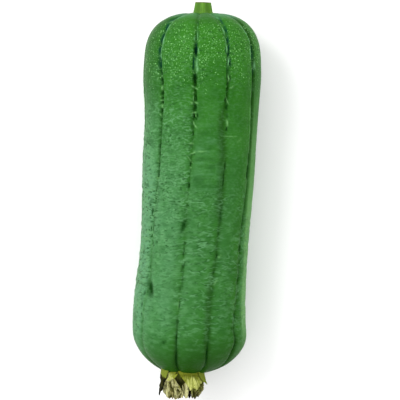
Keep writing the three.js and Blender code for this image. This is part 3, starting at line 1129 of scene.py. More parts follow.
@dataclass
class Fruit:
    """The fruit: one grown piece with lobes, furrows and a waxy skin.

    Attributes:
        girth: The radius over the crowns, before the ends are rounded.
        dimple: How far the stalk end dips inside the dimple's radii.
        centreline: How far the middle lies across.
        furrows: The furrows' angles.
        twist: How far they turn from one end to the other.
        wander: How far they drift to and fro.
        turns: (furrow, stations) of the turns that single furrows take besides.
        lobe_sag: How far the furrows lie below the crowns.
        left_marks: The marks of furrow 0, and so on up to furrow 3.
        relief_radius: The relief fades out between these radii, towards both ends.
        row_step: The distance between the skin's rows.
        fine_steps: The columns of half a lobe, as shares of its width.
        coarse_steps: The same for the lobes of the belly.
    """

    length: float = 232.0
    girth: Curve = Curve(
        (
            (-0.1, 37.4), (0.1, 37.4), (0.18, 38.1), (0.28, 36.6), (0.44, 36.1), (0.64, 34.9), (0.82, 36.5),
            (1.1, 36.7),
        )
    )
    stalk_dome: Dome = Dome(32, 2.7)
    blossom_dome: Dome = Dome(28, 1.9)
    dimple: float = 1.0
    dimple_radius: Pair = (4, 14)
    flat_depth: float = 0.8
    centreline: Curve = Curve(
        (
            (0, 4.1), (0.22, 3.8), (0.4, 2), (0.52, 0.6), (0.68, -1.9), (0.8, -4.3), (0.86, -4.4),
            (0.93, -3.6), (0.97, -4.1), (1, -5.6),
        )
    )
    furrows: tuple[float, ...] = (-46.0, -9.0, 26.0, 61.0, 95.0, 129.0, 162.0, 198.0, 234.0, 274.0)
    twist: float = -5.0
    wander: float = 0.9
    turns: tuple[tuple[int, Stations], ...] = (
        (0, (
            (0, 0), (0.05, -0.2), (0.1, -2.2), (0.14, -2.6), (0.2, 0.8), (0.3, -0.4), (0.4, -0.8),
            (0.5, -2.1), (0.6, -4.5), (0.66, -4.5), (0.75, -2.2), (0.8, -5), (0.886, -10.6), (0.946, -20),
            (0.984, -27), (1, -29),
        )),
        (1, (
            (0, 0), (0.15, 0.4), (0.3, 0.5), (0.42, 1), (0.48, -0.5), (0.6, -1), (0.7, -0.9), (0.83, -0.2),
            (0.9, -3), (0.944, -6.2), (0.984, -12), (1, -12.5),
        )),
        (2, (
            (0, -7), (0.02, -6.6), (0.05, -4.2), (0.138, -1.1), (0.22, -1), (0.3, -2.1), (0.42, 1.4),
            (0.54, 1.3), (0.65, -0.1), (0.74, -1.4), (0.8, -2.1), (0.85, -2.6), (0.918, -5), (0.944, -3),
            (0.96, 0.3), (0.98, 6.5), (0.988, 11), (1, 14),
        )),
        (3, (
            (0, -6), (0.05, -5.5), (0.1, -3.6), (0.145, -4.6), (0.2, -3.4), (0.235, -2.8), (0.27, 0.2),
            (0.34, 1.4), (0.44, 0), (0.54, 0.8), (0.6, -1.2), (0.7, -3), (0.78, -3), (0.83, -5.7),
            (0.866, -8), (0.91, -3.5), (0.937, -2), (0.96, 5), (0.98, 13), (1, 15),
        )),
        (7, ((0, 0), (0.7, 0), (0.8, -0.3), (0.9, -1.5), (0.95, -3), (1, -5))),
        (8, ((0, 0), (0.7, 0), (0.8, -0.8), (0.9, -4), (0.95, -7), (1, -12))),
        (9, ((0, 0), (0.66, 0), (0.8, -1.5), (0.9, -7), (0.95, -13), (1, -21))),
    )
    soft_stretches: tuple[Stretch, ...] = (
        Stretch(0, 0.46, 0.97), Stretch(1, 0.34, 0.58, 0.75), Stretch(1, 0.58, 0.84), Stretch(2, 0.27, 0.56),
        Stretch(2, 0.72, 0.9, 0.7),
    )
    calm_stretches: tuple[Stretch, ...] = (
        Stretch(0, 0.66, 1.0, 0.5), Stretch(1, 0.2, 0.5), Stretch(1, 0.54, 0.6, 0.4), Stretch(2, 0.22, 0.5),
        Stretch(2, 0.54, 0.62, 0.5), Stretch(3, 0.1, 0.55), Stretch(4, 0.45, 0.75, 0.7),
        Stretch(6, 0.25, 0.5, 0.7), Stretch(7, 0.55, 0.9, 0.6), Stretch(8, 0.15, 0.35, 0.6),
        Stretch(9, 0.78, 1.0, 0.6),
    )
    rippled_stretches: tuple[Stretch, ...] = (
        Stretch(1, 0.2, 0.33, 0.35), Stretch(1, 0.33, 0.5), Stretch(5, 0.5, 0.75, 0.8),
        Stretch(8, 0.2, 0.4, 0.6),
    )
    lobe_sag: Curve = Curve(((0, 0.8), (0.1, 1.1), (0.25, 1.1), (0.45, 0.7), (0.8, 0.55), (1, 0.7)))
    crease_depth: Curve = Curve(
        ((0, 0.5), (0.12, 0.8), (0.22, 1.1), (0.36, 0.8), (0.5, 0.45), (0.86, 0.45), (1, 0.8))
    )
    left_marks: tuple[Mark, ...] = (
        slot(3.8, 6.2, -1.3, 3.1, 0.8, -0.4), lip(4.4, 5.3, 2.8, 4.8, 0.4, -0.4),
        slot(7.2, 12.5, -1.5, 1.2, 0.9, 0, 0.21), lip(7.6, 14.4, 1, 0.6, 0.5, 0, -0.04),
        slot(13.1, 21.4, -1, 1.1, 0.9, 0, 0.1), lip(15, 22.7, 1.3, 0.7, 0.65, 0, 0.17),
        slot(22, 28.4, -1.2, 1, 0.9, 0, -0.03), lip(22.7, 26.5, 0.5, 0.5, 0.5, 0, -0.4),
        lip(27.1, 32.2, 0.4, 0.9, 0.65, 0, 0.04), slot(29, 37.3, -0.3, 1.7, 1.3, 0, -0.05),
        nick(37.6, 38.9, -2.5, 0.6, 0.5, 0, -0.16), slot(37.9, 41.7, -0.2, 0.8, 1, 0, 0.06),
        stitch(39.4, 40.2, -3, 1.1, 0.6, 0.6), lip(40.4, 42.3, -0.3, 0.4, 0.5, 0, -0.31),
        slot(42.3, 47.1, -0.6, 0.9, 1.1), stitch(42.7, 43.6, -2.9, 0.9, 0.6, -0.9),
        lip(47.7, 50.8, -0.4, 0.7, 0.7), slot(51.5, 54, -0.7, 0.8, 1), lip(54.3, 55, -1.4, 0.6, 0.5, 0, 0.12),
        slot(54.9, 56.2, -0.5, 0.7, 0.9, 0, -0.05), stitch(56.5, 57.3, -0.9, 0.9, 0.6, 0.1),
        slot(57.4, 59.2, -0.5, 0.7, 1, 0, 0.04), lip(59.3, 62.1, 0, 0.7, 0.6, 0, 0.18),
        slot(62.1, 64.9, -0.6, 1, 1.2, 0, 0.11), lip(65.3, 66.8, -0.9, 0.5, 0.4, 0, 0.42),
        slot(67.5, 70, 0, 0.7, 0.7), nick(74.2, 75.2, -1.4, 1.3, 0.6, 0.2),
        slot(76.3, 78.8, 0.3, 0.6, 0.7, 0, -0.06), slot(82.6, 88.3, 0.1, 0.9, 1),
        slot(89.2, 93.3, 0.4, 0.9, 1), slot(94.6, 100.3, 0.4, 0.9, 1.1),
        lip(94.9, 95.8, -0.5, 0.5, 0.4, 0, 0.47), slot(101.2, 105.6, 0.4, 0.9, 1.2),
        stitch(105.5, 106.5, 0.5, 1.8, 0.3), slot(124.9, 129.3, -2.5, 0.7, 0.9, 0, 0.05),
        nick(136, 139, 0, 0.6, 0.6), slot(136.3, 139.5, -2.1, 0.7, 0.9, 0, 0.07),
        nick(145.5, 147.5, 4.6, 0.7, 0.7), nick(146, 148, 0.5, 0.7, 0.6), nick(161, 163, -0.4, 0.7, 0.6),
        nick(167, 169, 0.8, 0.6, 0.5), slot(170.5, 181, 2, 3.4, 1.3, 0.2, 0.38),
        nick(177, 180, -2.4, 0.8, 0.7), nick(184, 187.5, -2.8, 0.8, 0.7), nick(188, 190, 6, 0.8, 0.4),
        nick(191, 193.5, -2, 0.7, 0.6),
    )
    middle_marks: tuple[Mark, ...] = (
        slot(6, 9.8, 0.6, 0.4, 0.4, 0, 0.17), lip(10.1, 11.7, 0.5, 0.4, 0.25, 0, 0.05),
        slot(11.7, 20.1, 0.1, 0.3, 0.5, 0, 0.05), slot(12.4, 19.5, 1.7, 0.3, 0.4, 0, 0.03),
        lip(13.7, 19.5, 1, 0.3, 0.35, 0, 0.04), lip(17.2, 19.5, -0.9, 0.5, 0.35),
        slot(20.4, 29.6, 0.2, 0.9, 1.5), slot(23.9, 28.3, -0.3, 0.9, 1.4),
        lip(24.5, 27.4, 1.7, 0.4, 0.5, 0, 0.11), lip(25.5, 26.3, -2.3, 0.6, 0.3, 0.1),
        slot(29.6, 39, -1.3, 0.6, 1), lip(30.9, 39.7, 0.8, 0.9, 0.35), lip(37, 39.2, 1.4, 0.8, 0.8),
        lip(39.4, 40.9, 0.9, 0.4, 0.5, 0, -0.05), slot(40.9, 45, -0.1, 1.3, 1.6),
        slot(44, 48.3, 0.1, 0.9, 1.5), stitch(48.5, 49.3, -1.1, 0.9, 0.8, 0.6),
        nick(49.8, 50.6, -1.3, 0.4, 0.5, 0.8), stitch(49.8, 50.6, 1.1, 1.2, 0.8, 0.3),
        slot(51, 52.9, 0.7, 0.5, 1), stitch(52.2, 52.9, -0.8, 0.6, 0.45, -0.2),
        slot(53.3, 58.1, 0.9, 0.7, 1.3, 0, 0.03), lip(54.6, 57.8, -0.7, 0.3, 0.6, 0, -0.04),
        stitch(58.3, 59.3, -1.7, 0.8, 0.8, 0.4), stitch(58.6, 59.5, 1, 1.2, 0.75, 0.2),
        slot(59.9, 64.1, 0.9, 0.8, 1.3, 0, 0.07), stitch(64.6, 65.5, 0.3, 1.5, 0.7, -0.1),
        slot(65.5, 68.4, 2.4, 0.5, 1), slot(65.6, 69.3, 0.4, 0.5, 1, 0, 0.12),
        lip(66.2, 67.9, 1.4, 0.4, 0.35, 0, 0.09), slot(68.4, 69.6, 1.5, 0.6, 1, 0.4),
        lip(70.6, 73.1, 0.2, 0.4, 0.7, 0, 0.48), lip(72.9, 74.5, 1.5, 0.6, 0.8, 0, 0.81),
        slot(76.5, 79.7, 0.2, 0.4, 0.7), stitch(84, 84.7, -0.7, 1.5, 0.5, 0.1),
        nick(84.9, 85.6, -0.6, 1.1, 0.5), stitch(89, 89.8, 5.8, 3, 0.45),
        stitch(89.8, 90.6, 0.9, 1.9, 0.7, -0.4), nick(91.2, 91.9, 0.8, 1.4, 0.6, -0.2),
        lip(92.7, 95, -1.7, 0.3, 0.6, 0, 0.78), lip(94.7, 96.5, -0.1, 0.3, 0.6, 0, 0.92),
        slot(96, 98.5, -0.5, 0.4, 0.8, 0, -0.06), stitch(99, 99.9, 0.1, 0.6, 0.4, 0.1),
        slot(108.9, 112.3, 0.4, 0.5, 1, 0, 0.07), nick(115.8, 117, 0.3, 0.4, 0.5, 0, -0.04),
        nick(122.5, 123.7, 0.4, 1.1, 0.6, 0.1), slot(134, 139.5, -1.6, 2.2, 1, -0.9),
        nick(146, 148.2, 0, 0.8, 0.6), slot(149.5, 155.5, 0, 0.6, 0.7, 0.3),
        slot(158.5, 164, 0.6, 0.7, 0.6, 0, -0.35), slot(164, 175, 0.9, 0.8, 0.35, 0, 0.02),
        nick(160.3, 162.6, 0.2, 0.9, 0.6, 0.5), nick(171, 172.4, 9.8, 0.9, 0.4),
        nick(174.5, 177, -0.2, 0.7, 0.5), lip(183, 188.5, -0.4, 0.4, 0.2), slot(183, 188.5, 0.5, 0.4, 0.4),
        nick(185, 187.6, 0.3, 0.7, 0.6), nick(186, 187.6, 10.6, 1, 0.4), slot(193, 212, 0, 0.45, 0.4),
        nick(195, 198, 0, 0.8, 0.6, 0.4), slot(204, 209.5, 0, 0.6, 0.6),
        nick(208.3, 210.8, -8.2, 1.6, 0.7, -0.35), slot(216, 229, 0, 0.7, 0.9),
    )
    right_marks: tuple[Mark, ...] = (
        lip(3.5, 4.2, 0.2, 2, 0.35, 0.5), slot(3.8, 8.9, 1.9, 0.9, 0.7, 0, -0.05),
        slot(8.9, 15.5, 1.7, 1, 0.7, 0, -0.14), lip(9.9, 15.5, -0.3, 0.4, 0.55, 0, 0.04),
        slot(15.5, 21.2, 1.2, 0.8, 0.9, 0, -0.09), lip(17.4, 21.8, -0.7, 0.4, 0.35, 0, 0.09),
        slot(21.2, 26.9, 1, 0.6, 1, 0, -0.06), lip(21.8, 27.8, -0.7, 0.6, 0.55),
        slot(24.4, 28.1, -1.7, 0.4, 0.8, 0, -0.04), slot(26.9, 30.4, 0.3, 0.8, 1.1),
        slot(30, 36.3, -1.2, 0.4, 0.9, 0, -0.06), slot(30, 35.7, 1.2, 0.5, 1),
        lip(30.4, 35.4, -0.1, 0.6, 0.7, 0, -0.08), slot(36.3, 41.4, -1.1, 0.6, 1.1, 0, -0.08),
        slot(40.8, 45.1, -1.2, 0.4, 1, 0, 0.08), lip(41.3, 45.4, -0.1, 0.7, 0.8, 0, 0.04),
        slot(41.4, 45.1, 1, 0.4, 0.8), slot(45.8, 47.3, -0.4, 0.7, 1.1), slot(47.9, 51.4, -0.5, 0.6, 0.9),
        stitch(48.5, 49.2, -1.3, 0.7, 0.5, -0.5), stitch(48.7, 49.4, 2.4, 1.4, 0.6, -0.6),
        lip(54.1, 56, -0.9, 0.3, 0.6, 0, 0.79), slot(55.8, 57.9, -1, 0.6, 1, 0, 0.21),
        lip(56, 59.4, 0.6, 0.4, 0.6, 0, 0.46), slot(59.9, 63.6, 0.9, 0.7, 0.8, 0, 0.13),
        slot(65.2, 68.9, 1.6, 0.9, 0.5, 0, 0.08), lip(69.7, 73.4, 1.5, 0.6, 0.65, 0, 0.04),
        slot(73.7, 76.5, 1.5, 0.6, 1, 0, -0.06), stitch(79.7, 80.3, 3.8, 4.5, 0.3),
        stitch(81.7, 82.9, 10.7, 1.8, 0.2, -0.6), slot(95.9, 101, 0, 0.5, 0.8, 0, -0.03),
        slot(102.2, 111.7, -0.9, 0.6, 0.7), slot(123, 136.2, 0.1, 1.3, 0.5, 0, 0.03),
        nick(140, 142.5, 0.2, 0.7, 0.5), nick(153, 157, 0.4, 0.8, 0.7, 0.5),
        stitch(155, 156, 2, 1.3, 0.3, -0.6), nick(164.2, 166.6, -0.4, 0.9, 0.6, -0.6),
        stitch(170.6, 172.4, 1.7, 1.2, 0.35, -1.1), nick(176, 178.2, 0.4, 1, 0.4),
        nick(199.4, 202, -0.3, 0.7, 0.4), slot(213, 224, 0, 0.6, 0.8),
    )
    far_right_marks: tuple[Mark, ...] = (
        lip(8.5, 12.1, -3.9, 0.6, 0.35, 0, 0.35), slot(10.8, 17.2, -0.3, 0.9, 0.6, 0, -0.04),
        lip(12.1, 15.6, -2.8, 0.7, 0.5, 0, 0.23), lip(16, 21, -2, 0.6, 0.4, 0, 0.16),
        slot(20.4, 26.1, -0.1, 1.5, 0.8), lip(22.9, 28.7, -3, 0.6, 0.35), slot(24.9, 31.2, 0.6, 1.5, 1),
        slot(31.2, 35.1, 0.1, 1.1, 1.1, 0, -0.11), lip(32.5, 37.6, 1.9, 0.8, 0.5, 0, -0.12),
        slot(36.3, 42.6, 0.9, 0.8, 1.1, 0, -0.17), slot(42, 47.7, 0.2, 0.9, 1),
        lip(48.9, 59, -1.9, 0.5, 0.35, 0, 0.06), slot(50.2, 55.9, 0.2, 1.1, 1.1, 0, 0.08),
        slot(58.4, 67.2, 0, 1.1, 0.9), lip(59.6, 70.3, -2.5, 0.6, 0.4),
        lip(70.3, 81.8, -1.9, 0.6, 0.45, 0, 0.1), slot(77, 88.1, 0.2, 1, 0.5, 0, -0.04),
        lip(82.4, 93.2, -0.9, 0.6, 0.45, 0, 0.08), slot(88.1, 97.6, 0.2, 1, 0.5, 0, 0.05),
        lip(93.8, 104, -0.3, 0.5, 0.4), slot(97.6, 106.5, 0.2, 1.4, 1.3), lip(104.6, 117.3, -0.6, 0.5, 0.35),
        slot(108.8, 117.3, -0.2, 0.8, 0.4), slot(117.9, 127.5, -0.7, 0.8, 0.5, 0, -0.03),
        slot(128.1, 136.3, -0.7, 0.8, 0.9, 0, 0.09), slot(148.6, 153.5, 0, 0.8, 0.9),
        nick(169, 172.4, 0, 0.9, 0.8), nick(192, 194.6, 0, 0.9, 0.6), nick(200, 202, -2.6, 0.9, 0.5),
        slot(208, 222, 0, 0.9, 1),
    )
    crease_width: float = 1.1
    ridge_side: float = 2.3
    ridge_height: float = 0.28
    ridge_ends: Edges = (0.02, 0.1, 0.2, 0.5)
    swell: float = 0.3
    ripple_height: float = 0.3
    ripple_ends: Edges = (0.12, 0.34, 0.85, 0.97)
    grit_height: float = 0.05
    relief_radius: Pair = (4, 20)
    row_step: Curve = Curve(((0, 0.66), (0.42, 0.68), (0.56, 0.98), (1, 1.05)))
    fine_steps: tuple[float, ...] = (
        0.0, 0.012, 0.024, 0.037, 0.051, 0.066, 0.083, 0.103, 0.128, 0.162, 0.203, 0.248, 0.297, 0.347, 0.398,
        0.449, 0.5,
    )
    coarse_steps: tuple[float, ...] = (0.0, 0.02, 0.042, 0.07, 0.11, 0.17, 0.25, 0.33, 0.42, 0.5)
    belly_lobes: tuple[int, ...] = (5, 6, 7)
    finish: WaxySkin = WaxySkin()

    def profile(self, share: Array) -> tuple[Array, Array]:
        """The fruit's outline over its crowns.

        Args:
            share: Where, as shares of the length.

        Returns:
            The radius and the Y of each place.
        """
        along = share * self.length
        domes = self.stalk_dome.share(along) * self.blossom_dome.share(self.length - along)
        radius = self.girth.at(share) * domes
        dip = np.where(share < 0.5, self.dimple * (1 - smooth(radius, *self.dimple_radius)), 0.0)
        return radius, self.length / 2 - along - dip

    def furrow_angles(self, share: Array) -> Array:
        """The furrows' courses round the fruit.

        Args:
            share: The rows' shares of the length.

        Returns:
            Angles in radians, as furrows x rows.
        """
        numbers = np.arange(len(self.furrows))[:, None]
        drift = self.wander * Noise(11).at(points_at(numbers * 7.3, share[None] * 4.5))
        angle = np.array(self.furrows)[:, None] + self.twist * (share[None] - 0.5) + drift
        for furrow, stations in self.turns:
            angle[furrow] += Curve(stations).at(share)
        return np.radians(angle)

    def grid(self) -> SkinGrid:
        """Lay out the skin's rows and columns, close together where its marks are fine.

        Returns:
            The skin before its relief.
        """
        dense = 0.5 - 0.5 * np.cos(np.linspace(0, math.pi, 6001))
        dense_radius, dense_height = self.profile(dense)
        arc = np.cumsum(np.hypot(np.diff(dense_radius), np.diff(dense_height)))
        arc = np.concatenate([[0.0], arc])
        pace = np.concatenate([[0.0], np.cumsum(np.diff(arc) / self.row_step.at(dense[1:]))])
        rows = round(pace[-1])
        here = np.interp(np.linspace(0, pace[-1], rows + 1)[1:-1], pace, arc)
        share = np.interp(here, arc, dense)
        radius = np.interp(here, arc, dense_radius)
        height = np.interp(here, arc, dense_height)
        rise = np.gradient(radius, here)
        run = -np.gradient(height, here)
        slope = np.hypot(rise, run)

        lobes = len(self.furrows)
        steps = []
        for number in range(lobes):
            half = np.array(self.coarse_steps if number in self.belly_lobes else self.fine_steps)
            steps.append(np.concatenate([half, 1 - half[-2:0:-1]]))
        lobe = np.repeat(np.arange(lobes), [len(step) for step in steps])
        within = np.concatenate(steps)
        before = self.furrow_angles(share)
        after = np.vstack([before[1:], before[:1] + 2 * math.pi])
        return SkinGrid(
            along=share * self.length,
            share=share,
            radius=radius,
            radial=run / slope,
            lengthwise=rise / slope,
            height=height,
            angle=(before[lobe] * (1 - within[:, None]) + after[lobe] * within[:, None]).T,
            furrow_angle=before,
            edge=np.abs(2 * within - 1),
            nearest=(lobe + (within > 0.5)) % lobes,
            lobe=lobe,
        )

    def marks(self) -> list[tuple[Mark, ...]]:
        """Gather the marks: placed one by one on the top, and grown by a seeded rule elsewhere.

        Returns:
            The marks of each furrow.
        """
        rng = np.random.default_rng(23)
        grown = [tuple(self.grown_marks(rng)) for _ in self.furrows]
        placed = (self.left_marks, self.middle_marks, self.right_marks, self.far_right_marks)
        return [*placed, *grown[len(placed):]]

    def grown_marks(self, rng: np.random.Generator) -> list[Mark]:
        """Marks that gape near the stalk, close up along the middle and are rare near the flower.

        Args:
            rng: Where the random draws come from.

        Returns:
            The marks of one furrow, in order.
        """
        marks = [slot(5, 13, 0, 0.8, 0.9)]
        place = rng.uniform(15, 19)
        while place < 0.93 * self.length:
            wear = float(np.clip((place - 40) / 90, 0, 1))
            side = rng.uniform(-0.4, 0.4)
            if rng.random() < 0.55 - 0.25 * wear:
                span = rng.uniform(3.5, 10) * (1 - 0.3 * wear)
                marks.append(slot(place, place + span, side, 0.9 - 0.25 * wear, 1.3 - 0.5 * wear))
                if rng.random() < 0.55 - 0.35 * wear:
                    lip_side = side + rng.choice([-1, 1]) * rng.uniform(1.1, 1.6)
                    marks.append(lip(place + 0.2 * span, place + span, lip_side, 0.55, 0.45))
            elif rng.random() < 0.6 - 0.3 * wear:
                span = rng.uniform(0.9, 1.4)
                reach = rng.uniform(1.1, 2) + 2.0 * wear * rng.random()
                height = 0.6 - 0.25 * wear
                marks.append(stitch(place, place + span, side, reach, height, rng.uniform(-0.5, 0.5)))
            else:
                span = rng.uniform(1.6, 3)
                marks.append(nick(place, place + span, side, 0.8, 0.6))
            place += span + rng.uniform(0.5, 2.5) + wear * rng.uniform(2, 10)
        marks.append(slot(214, 225, 0, 0.8, 0.9))
        return marks

    def felt(self, grid: SkinGrid, which: Array, stretches: tuple[Stretch, ...]) -> Array:
        """How much of some stretches is felt at each place.

        Args:
            grid: The skin before its relief.
            which: Each column's furrow or lobe.
            stretches: The stretches.

        Returns:
            A stretch's level well inside it and 0 well outside them all, as rows x columns.
        """
        ease = 0.03
        total = np.zeros((len(grid.share), len(which)))
        for one in stretches:
            edges = (one.start - ease, one.start + ease, one.end - ease, one.end + ease)
            total += one.level * band(grid.share, edges)[:, None] * (which == one.number)[None]
        return total

    def relief(self, grid: SkinGrid) -> Relief:
        """Work out how far the skin stands off the crowns' outline, and its marks.

        Args:
            grid: The skin before its relief.

        Returns:
            The relief.
        """
        soft = self.felt(grid, grid.nearest, self.soft_stretches)
        relief = Relief(
            grid=grid,
            off=grid.across(grid.nearest),
            lower=smooth(grid.share, 0.35, 0.6)[:, None],
            soft=soft,
            sunk=soft * smooth(grid.turn(), 4, 18),
            calm=self.felt(grid, grid.lobe, self.calm_stretches),
            rippled=self.felt(grid, grid.lobe, self.rippled_stretches),
        )
        self.sink_furrows(relief)
        for furrow, marks in enumerate(self.marks()):
            for mark in marks:
                self.carve(relief, furrow, mark)
        self.ripple(relief)
        return relief

    def sink_furrows(self, relief: Relief) -> None:
        """Sink the furrows and their creases, raise a low ridge on both sides of each, and paint shade along
        their lines.

        Args:
            relief: The relief, which is changed.
        """
        grid = relief.grid
        share = grid.share[:, None]
        off, soft = relief.off, relief.soft
        fade = smooth(grid.radius, *self.relief_radius)[:, None]
        width = self.crease_width * (1 + 0.35 * relief.lower + 0.9 * soft)
        crease = bell(off + 1.6 * relief.sunk, width) * (1 - 0.45 * soft)
        sag = self.lobe_sag.at(share) * grid.edge[None] ** 2
        relief.outward -= fade * (sag + self.crease_depth.at(share) * crease)
        ridges = bell(off - self.ridge_side, 0.8) + bell(off + self.ridge_side, 0.8)
        relief.outward += self.ridge_height * band(share, self.ridge_ends) * ridges

        # Painted shade along each furrow's line, fainter in the lower half and strong near the blossom end.
        line = 0.4 * bell(off, 0.6) * smooth(share, 0.02, 0.12) * (1 - 0.6 * relief.lower)
        line = line + 0.75 * bell(off, 0.5) * smooth(share, 0.84, 0.9)
        relief.pit_shade += line * fade * (1 - soft)

    def carve(self, relief: Relief, furrow: int, mark: Mark) -> None:
        """Work one mark into the skin.

        Args:
            relief: The relief, which is changed.
            furrow: The furrow that the mark belongs to.
            mark: The mark.
        """
        grid = relief.grid
        middle = (mark.start + mark.end) / 2
        half = (mark.end - mark.start) / 2
        reach = half + 3 + abs(mark.slant) * 2 * mark.width
        rows = slice(*np.searchsorted(grid.along, [middle - reach, middle + reach]))
        outward, dark, pale = relief.outward[rows], relief.pit_shade[rows], relief.lip[rows]
        places = grid.places()[rows]
        ahead = grid.along[rows, None] - middle
        off = grid.across(furrow)[rows] - mark.side - mark.lean * ahead
        off = off + 0.26 * Noise(13).at(places / 1.8, 2)
        ahead = ahead - mark.slant * off + 0.35 * Noise(14).at(places / 1.7, 2)
        # Slots and nicks are sunk and get painted shade; lips and stitches are raised, lose that shade and
        # get a painted highlight.
        if mark.kind is MarkKind.SLOT:
            outward -= mark.depth * bell(ahead, half * 1.05, 4) * bell(off, mark.width, 2.4)
            shape = bell(ahead, half, 3) * bell(off, 0.85 * mark.width, 2.6)
            uneven = min(1.1, 1.15 * mark.depth) * (1 - 0.3 * Noise(16).at(places / 1.5))
            np.maximum(dark, uneven * shape, out=dark)
        elif mark.kind is MarkKind.NICK:
            shape = bell(ahead, half) * bell(off, mark.width)
            outward -= mark.depth * shape
            np.maximum(dark, min(0.9, 1.3 * mark.depth) * shape, out=dark)
        else:
            shape = bell(ahead, half) * bell(off, mark.width, 2 if mark.kind is MarkKind.LIP else 3)
            fill = self.crease_depth.at(grid.share[rows, None]) * bell(off + mark.side, self.crease_width)
            outward += (mark.depth + 0.7 * fill) * shape
            dark *= 1 - np.clip(1.2 * shape, 0, 1)
            np.maximum(pale, shape * min(1.0, 0.2 + 1.1 * mark.depth), out=pale)

    def ripple(self, relief: Relief) -> None:
        """Swell, ripple and roughen the skin.

        Args:
            relief: The relief, which is changed.
        """
        grid = relief.grid
        share = grid.share[:, None]
        relief.outward += self.swell * grid.noise(3, 24, 24, 1)
        worn = band(share, self.ripple_ends) * (1 - 0.7 * relief.calm)
        relief.outward += worn * grid.noise(5, 7.5, 2.7) * (0.1 + 0.2 * bell(relief.off, 6.5))
        on_lobe = relief.rippled * smooth(grid.edge, 0.95, 0.6)[None]
        relief.ripples += on_lobe * grid.noise(6, 7.5, 2.4)
        relief.outward += self.ripple_height * relief.ripples
        relief.outward += self.grit_height * grid.noise(8, 1.9, 1.9, 1) * smooth(share, 0.5, 0.3)

    def build(self) -> bpy.types.Object:
        """Make the fruit and dress it.

        Returns:
            The finished piece.
        """
        grid = self.grid()
        relief = self.relief(grid)
        reach = grid.radius[:, None] + relief.outward * grid.radial[:, None]
        middle_height = self.girth.at(grid.share)[:, None] - self.flat_depth
        rings = points_at(
            self.centreline.at(grid.share)[:, None] + reach * np.sin(grid.angle),
            grid.height[:, None] + relief.outward * grid.lengthwise[:, None],
            middle_height + reach * np.cos(grid.angle),
        )
        rings[..., 2] = np.maximum(rings[..., 2], 0.0)
        piece = make_ringed_piece("gourd_skin", rings, SkinMasks(relief).everything())
        dress(piece, "fruit", self.finish.material())
        return piece


# ---- stalk


@dataclass
class Stalk:
    """The stub of stalk: five blunt angles, a spreading foot and a clean cut."""

    middle: Pair = (4.45, 36.6)
    foot_y: float = 115.0
    length: float = 7.5
    sunk: float = 1.2
    top_radius: float = 4.85
    foot_radius: float = 6.0
    spread: float = 0.5
    flare: float = 2.2
    angles: int = 5
    angle_rise: float = 0.38
    grooves: int = 25
    groove_depth: float = 0.09
    bevel: float = 0.3
    pith_share: float = 0.5
    pith_depth: float = 0.45
    side_rings: int = 56
    bevel_rings: int = 5
    cut_rings: int = 26
    columns: int = 200
    finish: CutStalk = CutStalk()

    def outline(self) -> tuple[Array, Array]:
        """The stub's side and cut face, from its foot to the middle of the cut.

        Returns:
            The height over the foot of each ring, and its share of the side's full radius.
        """
        side = np.linspace(-self.sunk, self.length - self.bevel, self.side_rings)
        turn = np.linspace(0.2, 1, self.bevel_rings) * math.pi / 2
        edge = self.length - self.bevel * (1 - np.sin(turn))
        inward = np.linspace(0.97, 0.04, self.cut_rings)
        pith = smooth(inward, self.pith_share + 0.25, self.pith_share - 0.15)
        heights = np.concatenate([side, edge, self.length - self.pith_depth * pith])
        bevelled = 1 - self.bevel / self.top_radius * (1 - np.cos(turn))
        shares = np.concatenate([np.ones(self.side_rings), bevelled, inward * 0.955])
        return heights, shares

    def build(self) -> bpy.types.Object:
        """Make the stalk and dress it.

        Returns:
            The finished piece.
        """
        heights, shares = self.outline()
        angle = ring_angles(self.columns)
        rise, share = heights[::-1, None], shares[::-1, None]
        is_side = smooth(share, 0.9, 1.0)
        flare = (1 - smooth(rise, 0, self.flare)) ** 2
        ribs = np.cos(self.angles * angle)
        ribs = np.sign(ribs) * np.abs(ribs) ** 0.8
        grooves = np.cos(self.grooves * angle + 1.5 * Noise(41).at(points_at(angle, rise / 6)))
        taper = self.foot_radius + (self.top_radius - self.foot_radius) * rise / self.length
        radius = taper + self.spread * flare + self.angle_rise * (1 + 0.8 * flare) * ribs
        radius = radius + self.groove_depth * grooves * is_side
        lumps = Noise(42).at(points_at(2.4 * np.cos(angle), 2.4 * np.sin(angle), rise / 4), 2)
        radius = (radius + 0.12 * lumps) * share
        grain = Noise(43).at(points_at(radius * np.cos(angle) / 0.7, radius * np.sin(angle) / 0.7), 2)
        height = self.foot_y + rise + (0.06 * grain - 0.25 * np.sin(angle)) * (1 - is_side)
        x, z = self.middle
        rings = points_at(x + radius * np.sin(angle), height, z + radius * np.cos(angle))
        on_cut = (1 - smooth(share, 0.86, 0.93)) * (rise > self.length / 2)
        on_edge = smooth(rise, self.length - 0.7, self.length - 0.25) * smooth(share, 0.86, 0.93)
        masks = {
            "rib": np.clip(0.5 + 0.5 * ribs, 0, 1) * is_side,
            "cut": on_cut + np.zeros_like(angle),
            "edge": on_edge + np.zeros_like(angle),
        }
        piece = make_ringed_piece("stalk_stub", rings, masks)
        dress(piece, "stalk", self.finish.material())
        return piece


# ---- flower


